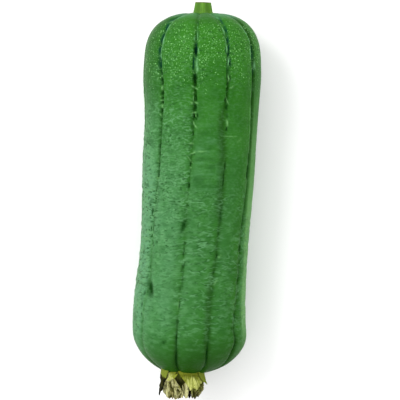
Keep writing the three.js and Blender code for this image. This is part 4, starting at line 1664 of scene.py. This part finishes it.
@dataclass(frozen=True)
class FlowerAxis:
    """The line that the flower grows along, straight out of the fruit's blossom end.

    Attributes:
        x: Where it leaves the fruit, across.
        y: Where it leaves the fruit, along the fruit.
        z: Where it leaves the fruit, up.
        tilt: How much further from the scar the skin is for each millimetre across.
    """

    x: float = -7.9
    y: float = -116.0
    z: float = 35.9
    tilt: float = 0.072

    def point(self, radius: Array, angle: Array, reach: Array) -> Array:
        """Points at a radius and an angle round the axis, and at a reach outwards from the scar."""
        return points_at(self.x + radius * np.sin(angle), self.y - reach, self.z + radius * np.cos(angle))

    def disc(
        self, outline: Array, lobes: Array, bumps: Callable[[Array], Array], peak: float = 0.0
    ) -> tuple[Array, Faces]:
        """Build a closed disc round the axis, which follows the slope of the fruit's end.

        Args:
            outline: (radius, reach) of each ring, outermost first.
            lobes: What each ring's radius is multiplied by at each angle.
            bumps: Gives the height of the bumps at points across the disc.
            peak: How far the middle stands over the last ring.

        Returns:
            The vertices, with the middles of both faces last, and the faces.
        """
        angle = ring_angles(lobes.shape[1])
        radius = outline[:, :1] * lobes
        up, across = radius * np.cos(angle), radius * np.sin(angle)
        reach = outline[:, 1:] + self.tilt * across + bumps(points_at(up, across))
        middles = self.point(np.zeros(2), np.zeros(2), np.array([outline[0, 1], outline[-1, 1] + peak]))
        return capped_tube(self.point(radius, angle, reach), middles)


@dataclass(frozen=True)
class Crease:
    """A ridge or a groove along a blade.

    Attributes:
        path: Its (across, reach) points, in millimetres.
        width: Half its width at its middle.
        height: How high it stands, or below 0 for a groove.
    """

    path: Stations
    width: float
    height: float

    def strength(self, across: Array, reach: Array) -> Array:
        """How much of the crease is felt at each place.

        Args:
            across: The places across the blade.
            reach: The places' reach.

        Returns:
            Values from 0 to 1, over a width that narrows towards the crease's two ends.
        """
        nearest = np.full(across.shape, 1e9)
        place = np.zeros(across.shape)
        run = 0.0
        for (x0, y0), (x1, y1) in zip(self.path, self.path[1:]):
            dx, dy = x1 - x0, y1 - y0
            t = np.clip(((across - x0) * dx + (reach - y0) * dy) / (dx * dx + dy * dy), 0, 1)
            distance = np.hypot(across - x0 - t * dx, reach - y0 - t * dy)
            place = np.where(distance < nearest, run + t * math.hypot(dx, dy), place)
            nearest = np.minimum(nearest, distance)
            run += math.hypot(dx, dy)
        width = self.width * (0.35 + 0.75 * np.sin(math.pi * np.clip(place / run, 0, 1)))
        return bell(nearest, width, 1.6)


@dataclass(frozen=True)
class Blade:
    """A thin leaf of the flower, wrapped round its axis.

    Attributes:
        left: (length share, across) of its left edge, from foot to tip.
        right: (length share, across) of its right edge.
        radius: (length share, distance from the axis).
        foot: Reach of its foot.
        tip: (width share, reach) of its tip.
        age: (length share, age), from 0 where it is fresh to 1 where it is black.
        facing: The direction that the blade's across is measured from, in degrees.
        creases: Its ridges and grooves.
        crumple: How far it is crumpled at its tip.
        shade: How much painted shade lies over all of it, from 0 to 1.
        seed: Picks its crumples.
        thickness: How thick it is away from its edges.
        spacing: The distance between its vertices.
    """

    left: Stations
    right: Stations
    radius: Stations
    foot: float
    tip: Stations
    age: Stations
    facing: float = 0.0
    creases: tuple[Crease, ...] = ()
    crumple: float = 0.5
    shade: float = 0.0
    seed: int = 1
    thickness: float = 0.4
    spacing: float = 0.21

    def add_to(self, shells: Shells, axis: FlowerAxis) -> None:
        """Build the blade as a closed sheet.

        Args:
            shells: The piece that it joins.
            axis: The flower's axis.
        """
        left, right, tip = Curve(self.left), Curve(self.right), Curve(self.tip)
        steps = np.linspace(0, 1, 9)
        rows = round((float(tip.at(steps).max()) - self.foot) / self.spacing) + 1
        columns = round(float((right.at(steps) - left.at(steps)).max()) / self.spacing) + 1
        v, u = np.meshgrid(np.linspace(0, 1, rows), np.linspace(0, 1, columns), indexing="ij")
        across = left.at(v) * (1 - u) + right.at(v) * u
        reach = self.foot + (tip.at(u) - self.foot) * v
        out, ridge, fold_shade = self.folds(across, reach, v)

        loose = self.crumple * smooth(v, 0.02, 0.75)
        shifted = 0.45 * self.noise(2, across / 2.0, reach / 3.2) * smooth(np.abs(u - 0.5), 0.5, 0.3)
        across = across + loose * shifted
        frayed = (0.35 + 0.9 * v**6) * self.noise(3, across / 0.9, reach / 3.0, 3)
        reach = reach + loose * frayed
        radius = Curve(self.radius).at(v)
        angle = math.radians(self.facing) + np.arcsin(np.clip(across / radius, -0.985, 0.985))
        from_side = np.minimum(u, 1 - u) * (columns - 1)
        edge = np.clip(np.minimum(from_side, (1 - v) * (rows - 1)) / 2, 0, 1)
        half = self.thickness * (0.2 + 0.3 * edge)
        outer = axis.point(radius + out + half, angle, reach).reshape(-1, 3)
        inner = axis.point(radius + out - half, angle, reach).reshape(-1, 3)
        worn = v + 0.09 * self.noise(7, across / 1.6, reach / 3.0)
        masks = {
            "age": np.tile(Curve(self.age).at(worn).ravel(), 2),
            "ridge": np.tile(ridge.ravel(), 2),
            # The inner side gets more painted shade.
            "fold_shade": np.concatenate([fold_shade.ravel(), np.clip(fold_shade + 0.5, 0, 1).ravel()]),
        }
        shells.add(np.concatenate([outer, inner]), sheet_faces(rows, columns), masks)

    def noise(self, way: int, across: Array, reach: Array, octaves: int = 2) -> Array:
        """Random values from about -1 to 1 in one of the blade's own patterns, a patch to a unit."""
        return Noise(self.seed + way).at(points_at(across, reach), octaves)

    def folds(self, across: Array, reach: Array, v: Array) -> tuple[Array, Array, Array]:
        """Crumple and crease the blade.

        Args:
            across: The places across the blade.
            reach: The places' reach.
            v: The places' share of the blade's length.

        Returns:
            How far each place is lifted, in millimetres, its ridge mask and its mask of painted shade.
        """
        lift = self.crumples(across, reach, v)
        bent_across = across + self.crumple * self.noise(5, across / 2.6, reach / 3.6)
        bent_reach = reach + self.crumple * self.noise(6, across / 2.6, reach / 3.6)
        out, ridge, fold_shade = lift, np.zeros_like(lift), np.zeros_like(lift)
        for crease in self.creases:
            felt = crease.strength(bent_across, bent_reach)
            out = out + crease.height * felt
            mask = ridge if crease.height > 0 else fold_shade
            np.maximum(mask, felt * min(1.0, 1.6 * abs(crease.height)), out=mask)
        # Raised crumples count as ridges: drier on the calyx, paler on the petals as a painted highlight.
        ridge = np.clip(ridge + 0.6 * smooth(lift, 0.02, 0.32), 0, 1) * (1 - 0.6 * self.shade)
        # Painted shade in the grooves, in the crumples' low places and over all of a shaded blade.
        fold_shade = np.clip(fold_shade + smooth(lift, -0.02, -0.36) + self.shade, 0, 1) * (1 - ridge)
        return out, ridge, fold_shade

    def crumples(self, across: Array, reach: Array, v: Array) -> Array:
        """How far crumples and fine fibres lift each place off the blade's plain surface.

        Args:
            across: The places across the blade.
            reach: The places' reach.
            v: The places' share of the blade's length.

        Returns:
            The lift, in millimetres.
        """
        sharp = 1.5 * np.abs(self.noise(0, across / 2.3, reach / 5.0)) - 0.35
        crumpled = sharp + 0.35 * self.noise(1, across, reach / 2.2)
        fibres = 0.11 * self.noise(4, across / 0.42, reach / 3.0)
        return self.crumple * smooth(v, 0.02, 0.7) * crumpled + fibres * smooth(v, 0.0, 0.3)


def flat(value: float) -> Stations:
    """Stations that keep one value all the way."""
    return ((0.0, value), (1.0, value))


MIDRIB = Crease(((0, -2), (0, 8)), 0.5, 0.3)


@dataclass
class Calyx:
    """The calyx: a slim collar on the fruit's blossom end, with five pointed sepals.

    Attributes:
        collar: (radius, reach) of the collar's rings, outermost first.
        sepals: The five sepals, each where it has withered to.
    """

    axis: FlowerAxis = FlowerAxis()
    collar: Stations = (
        (12.3, -3.6), (12.5, -3), (12.45, -2.5), (12.2, -2.1), (11.6, -1.8), (10.5, -1.4), (6, -0.9),
        (2, -0.8),
    )
    collar_columns: int = 180
    sepals: tuple[Blade, ...] = (
        Blade(
            left=((0, -14.4), (0.25, -14.8), (0.6, -15.2), (1, -15.8)),
            right=((0, -9.6), (0.33, -11), (0.47, -11.8), (0.6, -12.4), (0.8, -13.4), (1, -15.5)),
            radius=((0, 14.7), (0.25, 15.2), (1, 16.4)), foot=-5.2, tip=flat(12.1),
            creases=(
                Crease(((-13.2, 0.5), (-13.6, 7)), 0.5, 0.4), Crease(((-14.2, 0.8), (-14.8, 8)), 0.4, -0.5),
            ),
            crumple=0.4, age=((0, 0.05), (0.2, 0.15), (0.36, 0.75), (0.5, 0.9), (0.7, 1.1), (1, 1.2)),
            seed=51, spacing=0.16,
        ),
        # The sepal in the hollow, laid in painted shade.
        Blade(
            left=((0, -4.6), (0.6, -3.9), (1, -2.5)), right=((0, 0.4), (0.6, -0.6), (1, -2.1)),
            radius=((0, 12.6), (0.4, 12.3), (1, 11)), foot=-3.0, tip=flat(2.6),
            creases=(Crease(((-2.2, -2.6), (-2.3, 2.4)), 1.6, -0.25),), crumple=0.3,
            age=((0, 0.2), (0.5, 0.3), (1, 0.4)), shade=0.85, seed=53, spacing=0.17,
        ),
        Blade(
            left=((0, 9.4), (0.35, 10.2), (0.75, 12.4), (1, 14.5)),
            right=((0, 13.2), (0.35, 13.4), (0.75, 14.2), (1, 14.95)),
            radius=((0, 13.6), (0.35, 14), (0.75, 14.7), (1, 15.4)), foot=-3.0, tip=flat(5.7),
            creases=(Crease(((12.8, -1.5), (13.4, 2), (14.6, 5.4)), 0.3, 0.35),), crumple=0.25,
            age=((0, 0.2), (0.5, 0.12), (1, 0.1)), seed=55, spacing=0.16,
        ),
        Blade(
            facing=140, left=((0, -2.7), (0.4, -2.3), (0.8, -1.1), (1, -0.15)),
            right=((0, 2.7), (0.4, 2.3), (0.8, 1.1), (1, 0.15)), radius=((0, 13.3), (0.4, 14.2), (1, 15.2)),
            foot=-3.2, tip=flat(10.8), creases=(MIDRIB,), crumple=0.4,
            age=((0, 0.1), (0.35, 0.35), (0.7, 0.8), (1, 1)), seed=57,
        ),
        Blade(
            facing=206, left=((0, -2.5), (0.4, -2.1), (0.8, -1), (1, -0.15)),
            right=((0, 2.5), (0.4, 2.1), (0.8, 1), (1, 0.15)), radius=((0, 13.3), (0.4, 14), (1, 14.9)),
            foot=-3.9, tip=flat(8.8), creases=(MIDRIB,), crumple=0.4,
            age=((0, 0.1), (0.35, 0.3), (0.7, 0.75), (1, 1)), seed=59,
        ),
    )
    finish: DryingLeaf = DryingLeaf()

    def add_collar(self, shells: Shells) -> None:
        """Build the collar as a closed, slightly lobed disc.

        Args:
            shells: The piece that it joins.
        """
        outline = np.array(self.collar)
        angle = ring_angles(self.collar_columns)
        lobes = 1 + 0.012 * np.cos(5 * angle) + 0.008 * np.sin(13 * angle)
        points, faces = self.axis.disc(outline, lobes, lambda place: 0.12 * Noise(61).at(place / 2.5, 2))
        age = np.repeat(smooth(outline[:, 0], 12.9, 11.0) * 0.7 + 0.15, self.collar_columns)
        plain = np.zeros(len(points))
        masks = {"age": np.concatenate([age, [0.15, 0.85]]), "ridge": plain, "fold_shade": plain}
        shells.add(points, faces, masks)

    def build(self) -> bpy.types.Object:
        """Make the calyx and dress it.

        Returns:
            The finished piece.
        """
        shells = Shells()
        self.add_collar(shells)
        for sepal in self.sepals:
            sepal.add_to(shells, self.axis)
        piece = shells.make("dried_calyx")
        dress(piece, "calyx", self.finish.material())
        return piece


@dataclass
class WitheredFlower:
    """The withered petals, crumpled together round what is left of the style.

    Attributes:
        core: (radius, reach) of the core's rings, outermost first.
        shown: The petals on the top, and their shreds and tips.
        under: (facing, reach, bulge, shade) of each petal on the sides and underneath.
        inner: (facing, reach, half width) of each petal's inner side, folded round the style.
    """

    axis: FlowerAxis = FlowerAxis()
    core: Stations = (
        (11, -1.6), (11.3, -0.7), (10.9, 0.2), (9, 1.2), (6, 2.6), (4.2, 4.5), (3.4, 7), (2.7, 9.5),
        (1.6, 10.8),
    )
    core_columns: int = 96
    shown: tuple[Blade, ...] = (
        # The tan petal on the left of the top
        Blade(
            left=((0, -10.9), (0.3, -12), (0.7, -12.7), (1, -12.6)),
            right=((0, -4.6), (0.12, -5.2), (0.25, -6), (0.4, -4.6), (0.6, -2.4), (0.8, -0.6), (1, 0.2)),
            radius=((0, 12.6), (0.3, 13.2), (0.7, 13.2), (1, 12.9)), foot=-3.4,
            tip=((0, 9.4), (0.12, 12.4), (0.24, 13.7), (0.6, 14), (0.85, 13.8), (1, 12.8)),
            creases=(
                Crease(((-9.4, -2.6), (-9, 0.4), (-9.7, 3.4)), 2.4, 0.6),
                Crease(((-9.4, 1), (-11.2, 4.8), (-12, 7.4), (-12.4, 10.4)), 0.8, 0.9),
                Crease(((-8.8, 2.8), (-9.6, 6.3), (-9.8, 13.4)), 0.6, 0.6),
                Crease(((-7, 2.4), (-6.4, 4.4), (-5.7, 6.6)), 0.6, 1.2),
                Crease(((-5.4, 4.8), (-4.2, 5.5), (-2.9, 6.8)), 0.26, 0.8),
                Crease(((-5.9, 7.6), (-5.1, 9.2), (-4.4, 10.9)), 0.36, 0.9),
                Crease(((-3.8, 8), (-2.1, 8.7), (-1, 9.4)), 0.34, 0.8),
                Crease(((-2.9, 10.6), (-3.6, 13.2)), 0.3, 0.4),
                Crease(((-8.3, 8.4), (-8.5, 10.6), (-9.1, 13)), 0.25, 0.4),
                Crease(((-7.8, 2.6), (-7.7, 6), (-7.4, 8.9)), 0.42, -1.2),
                Crease(((-10.4, 4.4), (-10.7, 8.5), (-11.2, 11.6)), 0.42, -0.8),
                Crease(((-8.6, 10), (-7.4, 14.8)), 0.45, -0.6), Crease(((-3.8, 8.8), (-3.5, 11)), 0.6, -1.6),
                Crease(((-4.9, 6.6), (-3.2, 7.8)), 0.35, -0.9),
                Crease(((-1.2, 10.4), (-2.1, 14)), 0.45, -0.8), Crease(((-5.2, 11.4), (-5.4, 15)), 0.5, -0.6),
                Crease(((-6.8, 6.8), (-6.4, 9.6)), 0.3, -0.7),
            ),
            crumple=0.75, age=((0, 0.2), (0.22, 0.36), (0.4, 0.52), (0.85, 0.6), (1, 0.72)), seed=71,
            spacing=0.14,
        ),
        # Its flap, which is folded back over its foot
        Blade(
            left=((0, -4.6), (0.5, -6.6), (1, -8.6)), right=((0, -3.9), (1, -6.2)),
            radius=((0, 14.2), (0.5, 14), (1, 13.2)), foot=-1.7, tip=((0, 0.4), (1, 2.4)), crumple=0.15,
            age=flat(0.2), seed=75, spacing=0.16,
        ),
        # The yellow petal on the right, still fresh at its foot
        Blade(
            left=((0, -3.4), (0.12, -3.1), (0.3, -1.6), (0.65, 1.6), (1, 3.6)),
            right=((0, 11.6), (0.3, 12.2), (0.65, 11.8), (1, 9.9)),
            radius=((0, 12.6), (0.3, 13.2), (0.7, 13), (1, 12.2)), foot=-3.4,
            tip=((0, 8.8), (0.5, 9.2), (0.8, 8.5), (1, 6.8)),
            creases=(
                Crease(((-4.5, -0.9), (4.5, -0.5), (13.5, 0.3)), 1.5, -0.3),
                Crease(((-2.6, 1), (-0.6, 3.2), (1.8, 5.8)), 0.7, 0.6),
                Crease(((2.6, 1.8), (3, 9.6)), 1.0, 0.45),
                Crease(((5, 0.8), (4.5, 4.6), (4.2, 9.8)), 1.1, 0.6),
                Crease(((6.2, 0.8), (7, 4.6), (7.6, 9.6)), 1.3, 0.55), Crease(((8, 2), (9.4, 8.8)), 0.8, 0.4),
                Crease(((9.8, 1.8), (11.2, 6)), 0.9, 0.35),
                Crease(((7, 0.6), (8, 4), (9.4, 8.8)), 0.26, -0.4),
                Crease(((5.5, 0.8), (5.6, 7.4)), 0.3, -0.12), Crease(((2, 0.6), (2.5, 5.6)), 0.35, -0.35),
                Crease(((0.8, 0.4), (1.2, 3.4)), 0.3, -0.3), Crease(((9.6, 1.4), (10.6, 3)), 0.4, -0.5),
                Crease(((10, 4.8), (11.2, 7.6)), 0.55, -0.6),
            ),
            crumple=0.22, age=((0, 0.12), (0.4, 0.05), (0.8, 0.05), (1, 0.3)), seed=79, spacing=0.14,
        ),
        # The yellow petal's olive tip, dried, curled under and laid in painted shade
        Blade(
            left=((0, 6), (0.35, 4.8), (1, 4.6)), right=((0, 12.2), (0.5, 12.3), (1, 11.6)),
            radius=((0, 12.3), (0.4, 12.7), (0.8, 12), (1, 11.2)), foot=4.0,
            tip=((0, 13.2), (0.15, 13.9), (0.6, 13.3), (1, 10.2)),
            creases=(
                Crease(((5, 8.4), (5.1, 13)), 0.35, 0.9), Crease(((8.9, 9.4), (7.4, 11.8)), 0.28, 0.7),
                Crease(((10.9, 6), (11.4, 9.6)), 0.32, 0.6), Crease(((9.9, 9.6), (8.8, 13)), 0.28, 0.6),
                Crease(((6.7, 8.4), (6.4, 12.2)), 0.55, -1.2), Crease(((9.3, 8), (9.9, 10.4)), 0.4, -1.0),
                Crease(((8.3, 11.4), (7.8, 13.6)), 0.4, -0.9), Crease(((10.1, 5.6), (10.3, 8.2)), 0.4, -0.8),
            ),
            crumple=0.7, age=((0, 0.3), (0.4, 0.4), (1, 0.55)), shade=0.95, seed=83, spacing=0.14,
        ),
        # The folded part between the two petals
        Blade(
            left=((0, 2.2), (0.12, 0.6), (0.25, -0.7), (0.5, -0.6), (0.75, 0), (1, 0.3)),
            right=((0, 3.4), (0.5, 3), (1, 2.6)), radius=((0, 11.8), (0.5, 12.3), (1, 11.8)), foot=3.0,
            tip=((0, 13), (0.5, 13.9), (1, 13.4)),
            creases=(
                Crease(((1.9, 4.4), (2.2, 9), (1, 14.2)), 1.6, 0.65),
                Crease(((-0.6, 5), (-0.3, 8.8)), 0.25, 0.5),
                Crease(((0.2, 5.2), (0.7, 8), (0.1, 11)), 0.42, -1.0),
            ),
            crumple=0.4, age=flat(0.62), seed=87, spacing=0.14,
        ),
        # A narrow black strip beside the folded part
        Blade(
            left=((0, 2.8), (0.85, 2.9), (1, 3.2)), right=((0, 4.6), (0.85, 4.5), (1, 4.1)),
            radius=((0, 11.4), (1, 11.6)), foot=7.4, tip=((0, 13.6), (0.5, 14.2), (1, 13.7)), crumple=0.15,
            age=flat(1.5), seed=91, spacing=0.17,
        ),
    )
    under: tuple[tuple[int, float, float, float], ...] = (
        (104, 13.2, 12, 0.45), (175, 13.7, 13, 0), (246, 13.8, 13, 0.1),
    )
    inner: tuple[tuple[int, float, float], ...] = (
        (74, 10.2, 4), (122, 11.6, 4.8), (170, 10.6, 4.6), (222, 11.9, 4.8), (276, 10.8, 4.2),
    )
    finish: WitheredPetal = WitheredPetal()

    def petals(self) -> list[Blade]:
        """Every petal, shred and fold."""
        return [*self.shown, *self.under_petals(), *self.inner_folds()]

    def under_petals(self) -> list[Blade]:
        """Crumple the petals on the sides and underneath by a seeded rule.

        Returns:
            The three petals.
        """
        rng = np.random.default_rng(7)
        drops = ((0, 3), (0.25, 0.6), (0.6, 0), (0.85, 1.2), (1, 3))
        blades = []
        for facing, reach, bulge, shade in self.under:
            creases = []
            for across in np.linspace(-6.8, 6.4, 8) + rng.uniform(-0.6, 0.6, 8):
                start, end = rng.uniform(-1.2, 4), rng.uniform(8, 13.5)
                path = ((0.8 * across, start), (across + rng.uniform(-0.5, 0.5), 6), (0.9 * across, end))
                creases.append(Crease(path, rng.uniform(0.28, 0.5), rng.uniform(0.5, 1)))
                between = tuple((x + 0.9, y + rng.uniform(0.5, 2)) for x, y in path)
                creases.append(Crease(between, rng.uniform(0.28, 0.45), -rng.uniform(0.7, 1.2)))
            blades.append(
                Blade(
                    facing=facing, left=((0, -6.8), (0.4, -8.2), (0.8, -7.4), (1, -6)),
                    right=((0, 6.8), (0.4, 8.2), (0.8, 7.4), (1, 6)),
                    radius=((0, 12.5), (0.4, bulge), (0.8, bulge - 0.6), (1, bulge - 2.2)), foot=-3.2,
                    tip=tuple((share, reach - drop) for share, drop in drops),
                    creases=tuple(creases), crumple=0.55, age=((0, 0.1), (0.3, 0.2), (0.6, 0.5), (1, 0.7)),
                    shade=shade, seed=100 + facing, spacing=0.26,
                )
            )
        return blades

    def inner_folds(self) -> list[Blade]:
        """Fold the petals' inner sides round the style by a seeded rule, and leave the top open.

        Returns:
            The five folds.
        """
        rng = np.random.default_rng(23)
        blades = []
        for facing, reach, half in self.inner:
            creases = []
            for across in np.linspace(-0.7 * half, 0.7 * half, 4) + rng.uniform(-0.4, 0.4, 4):
                bend = across + rng.uniform(-0.6, 0.6)
                path = ((1.1 * across, 1.5), (bend, 6), (0.8 * across, reach - 0.5))
                creases.append(Crease(path, rng.uniform(0.4, 0.7), rng.uniform(0.6, 1.1)))
            blades.append(
                Blade(
                    facing=facing, left=((0, -half), (0.5, -1.05 * half), (1, -0.62 * half)),
                    right=((0, half), (0.5, 1.05 * half), (1, 0.62 * half)),
                    radius=((0, 9.8), (0.35, 8.6), (0.75, 6.6), (1, 4.4)), foot=-0.4,
                    tip=((0, reach - 2.5), (0.3, reach), (0.7, reach - 0.9), (1, reach - 3)),
                    creases=tuple(creases), crumple=0.9, age=((0, 0.3), (0.4, 0.45), (1, 0.66)), shade=0.12,
                    seed=200 + facing, spacing=0.36,
                )
            )
        return blades

    def add_core(self, shells: Shells) -> None:
        """Build the dried ring inside the petals and the stump of the style.

        Args:
            shells: The piece that it joins.
        """
        outline = np.array(self.core)
        angle = ring_angles(self.core_columns)
        lobes = 1 + 0.05 * np.cos(3 * angle + 0.6 * outline[:, 1:]) + 0.02 * np.cos(17 * angle)
        points, faces = self.axis.disc(outline, lobes, lambda place: 0.7 * Noise(95).at(place / 1.5, 3), 0.3)
        deep = np.broadcast_to(smooth(outline[:, 1:], 0.5, 4.0), lobes.shape)
        deep = np.concatenate([deep.ravel(), [0.0, 1.0]])
        # The core dries and takes more painted shade deeper into the flower.
        masks = {"age": 0.2 + 0.6 * deep, "ridge": np.zeros(len(points)), "fold_shade": 0.65 + 0.3 * deep}
        shells.add(points, faces, masks)

    def build(self) -> bpy.types.Object:
        """Make the petals and dress them.

        Returns:
            The finished piece.
        """
        shells = Shells()
        self.add_core(shells)
        for petal in self.petals():
            petal.add_to(shells, self.axis)
        piece = shells.make("crumpled_petals")
        dress(piece, "withered_petals", self.finish.material())
        return piece


# ---- studio


@dataclass
class Studio:
    """A pale floor, a soft light from above and the left, and a camera that looks straight down.

    Lengths here are in metres, but for the sensor's width, which is in millimetres.
    """

    floor_size: float = 12.0
    look_at: Pair = (0.0025, -0.00384)
    plane_height: float = 0.036
    distance: float = 1.8
    view_width: float = 0.256
    sensor: float = 36.0
    key_place: Triple = (-0.75, 0.5, 1.15)
    key_size: float = 0.75
    key_power: float = 10.5
    sky: Colour = (1.0, 1.0, 1.0)
    sky_strength: float = 1.27
    finish: PaleFloor = PaleFloor()

    def build(self) -> None:
        """Make everything that isn't the part."""
        self.lay_floor()
        self.hang_lights()
        self.place_camera()

    def lay_floor(self) -> None:
        """Lay the floor under the part."""
        half = self.floor_size / 2
        corners = [(-half, -half, 0.0), (half, -half, 0.0), (half, half, 0.0), (-half, half, 0.0)]
        mesh = bpy.data.meshes.new("floor")
        mesh.from_pydata(corners, [], [(0, 1, 2, 3)])
        mesh.materials.append(self.finish.material())
        floor = bpy.data.objects.new("floor", mesh)
        bpy.context.scene.collection.objects.link(floor)

    def hang_lights(self) -> None:
        """Light the part with a bright room and one large soft lamp."""
        world = bpy.data.worlds.new("bright_room")
        world.use_nodes = True
        background = world.node_tree.nodes["Background"]
        background.inputs["Color"].default_value = (*self.sky, 1.0)
        background.inputs["Strength"].default_value = self.sky_strength
        bpy.context.scene.world = world
        lamp = bpy.data.lights.new("key_light", "AREA")
        lamp.shape = "DISK"
        lamp.size = self.key_size
        lamp.energy = self.key_power
        key = bpy.data.objects.new("key_light", lamp)
        key.location = self.key_place
        key.rotation_euler = (-Vector(self.key_place)).to_track_quat("-Z", "Y").to_euler()
        bpy.context.scene.collection.objects.link(key)

    def place_camera(self) -> None:
        """Hang the camera over the part, with the stalk towards the top of its view."""
        lens = bpy.data.cameras.new("camera")
        lens.sensor_width = self.sensor
        lens.lens = self.sensor * self.distance / self.view_width
        camera = bpy.data.objects.new("camera", lens)
        camera.location = (*self.look_at, self.plane_height + self.distance)
        bpy.context.scene.collection.objects.link(camera)
        bpy.context.scene.camera = camera
        bpy.context.scene.view_settings.view_transform = "Standard"


def main() -> None:
    """Build the part piece by piece, and the studio round it."""
    logging.basicConfig(level=logging.INFO, format="%(name)s: %(message)s")
    for assembly in (Fruit(), Stalk(), Calyx(), WitheredFlower()):
        piece = assembly.build()
        log.info("built %s", piece.name)
    Studio().build()


if __name__ == "__main__":
    main()
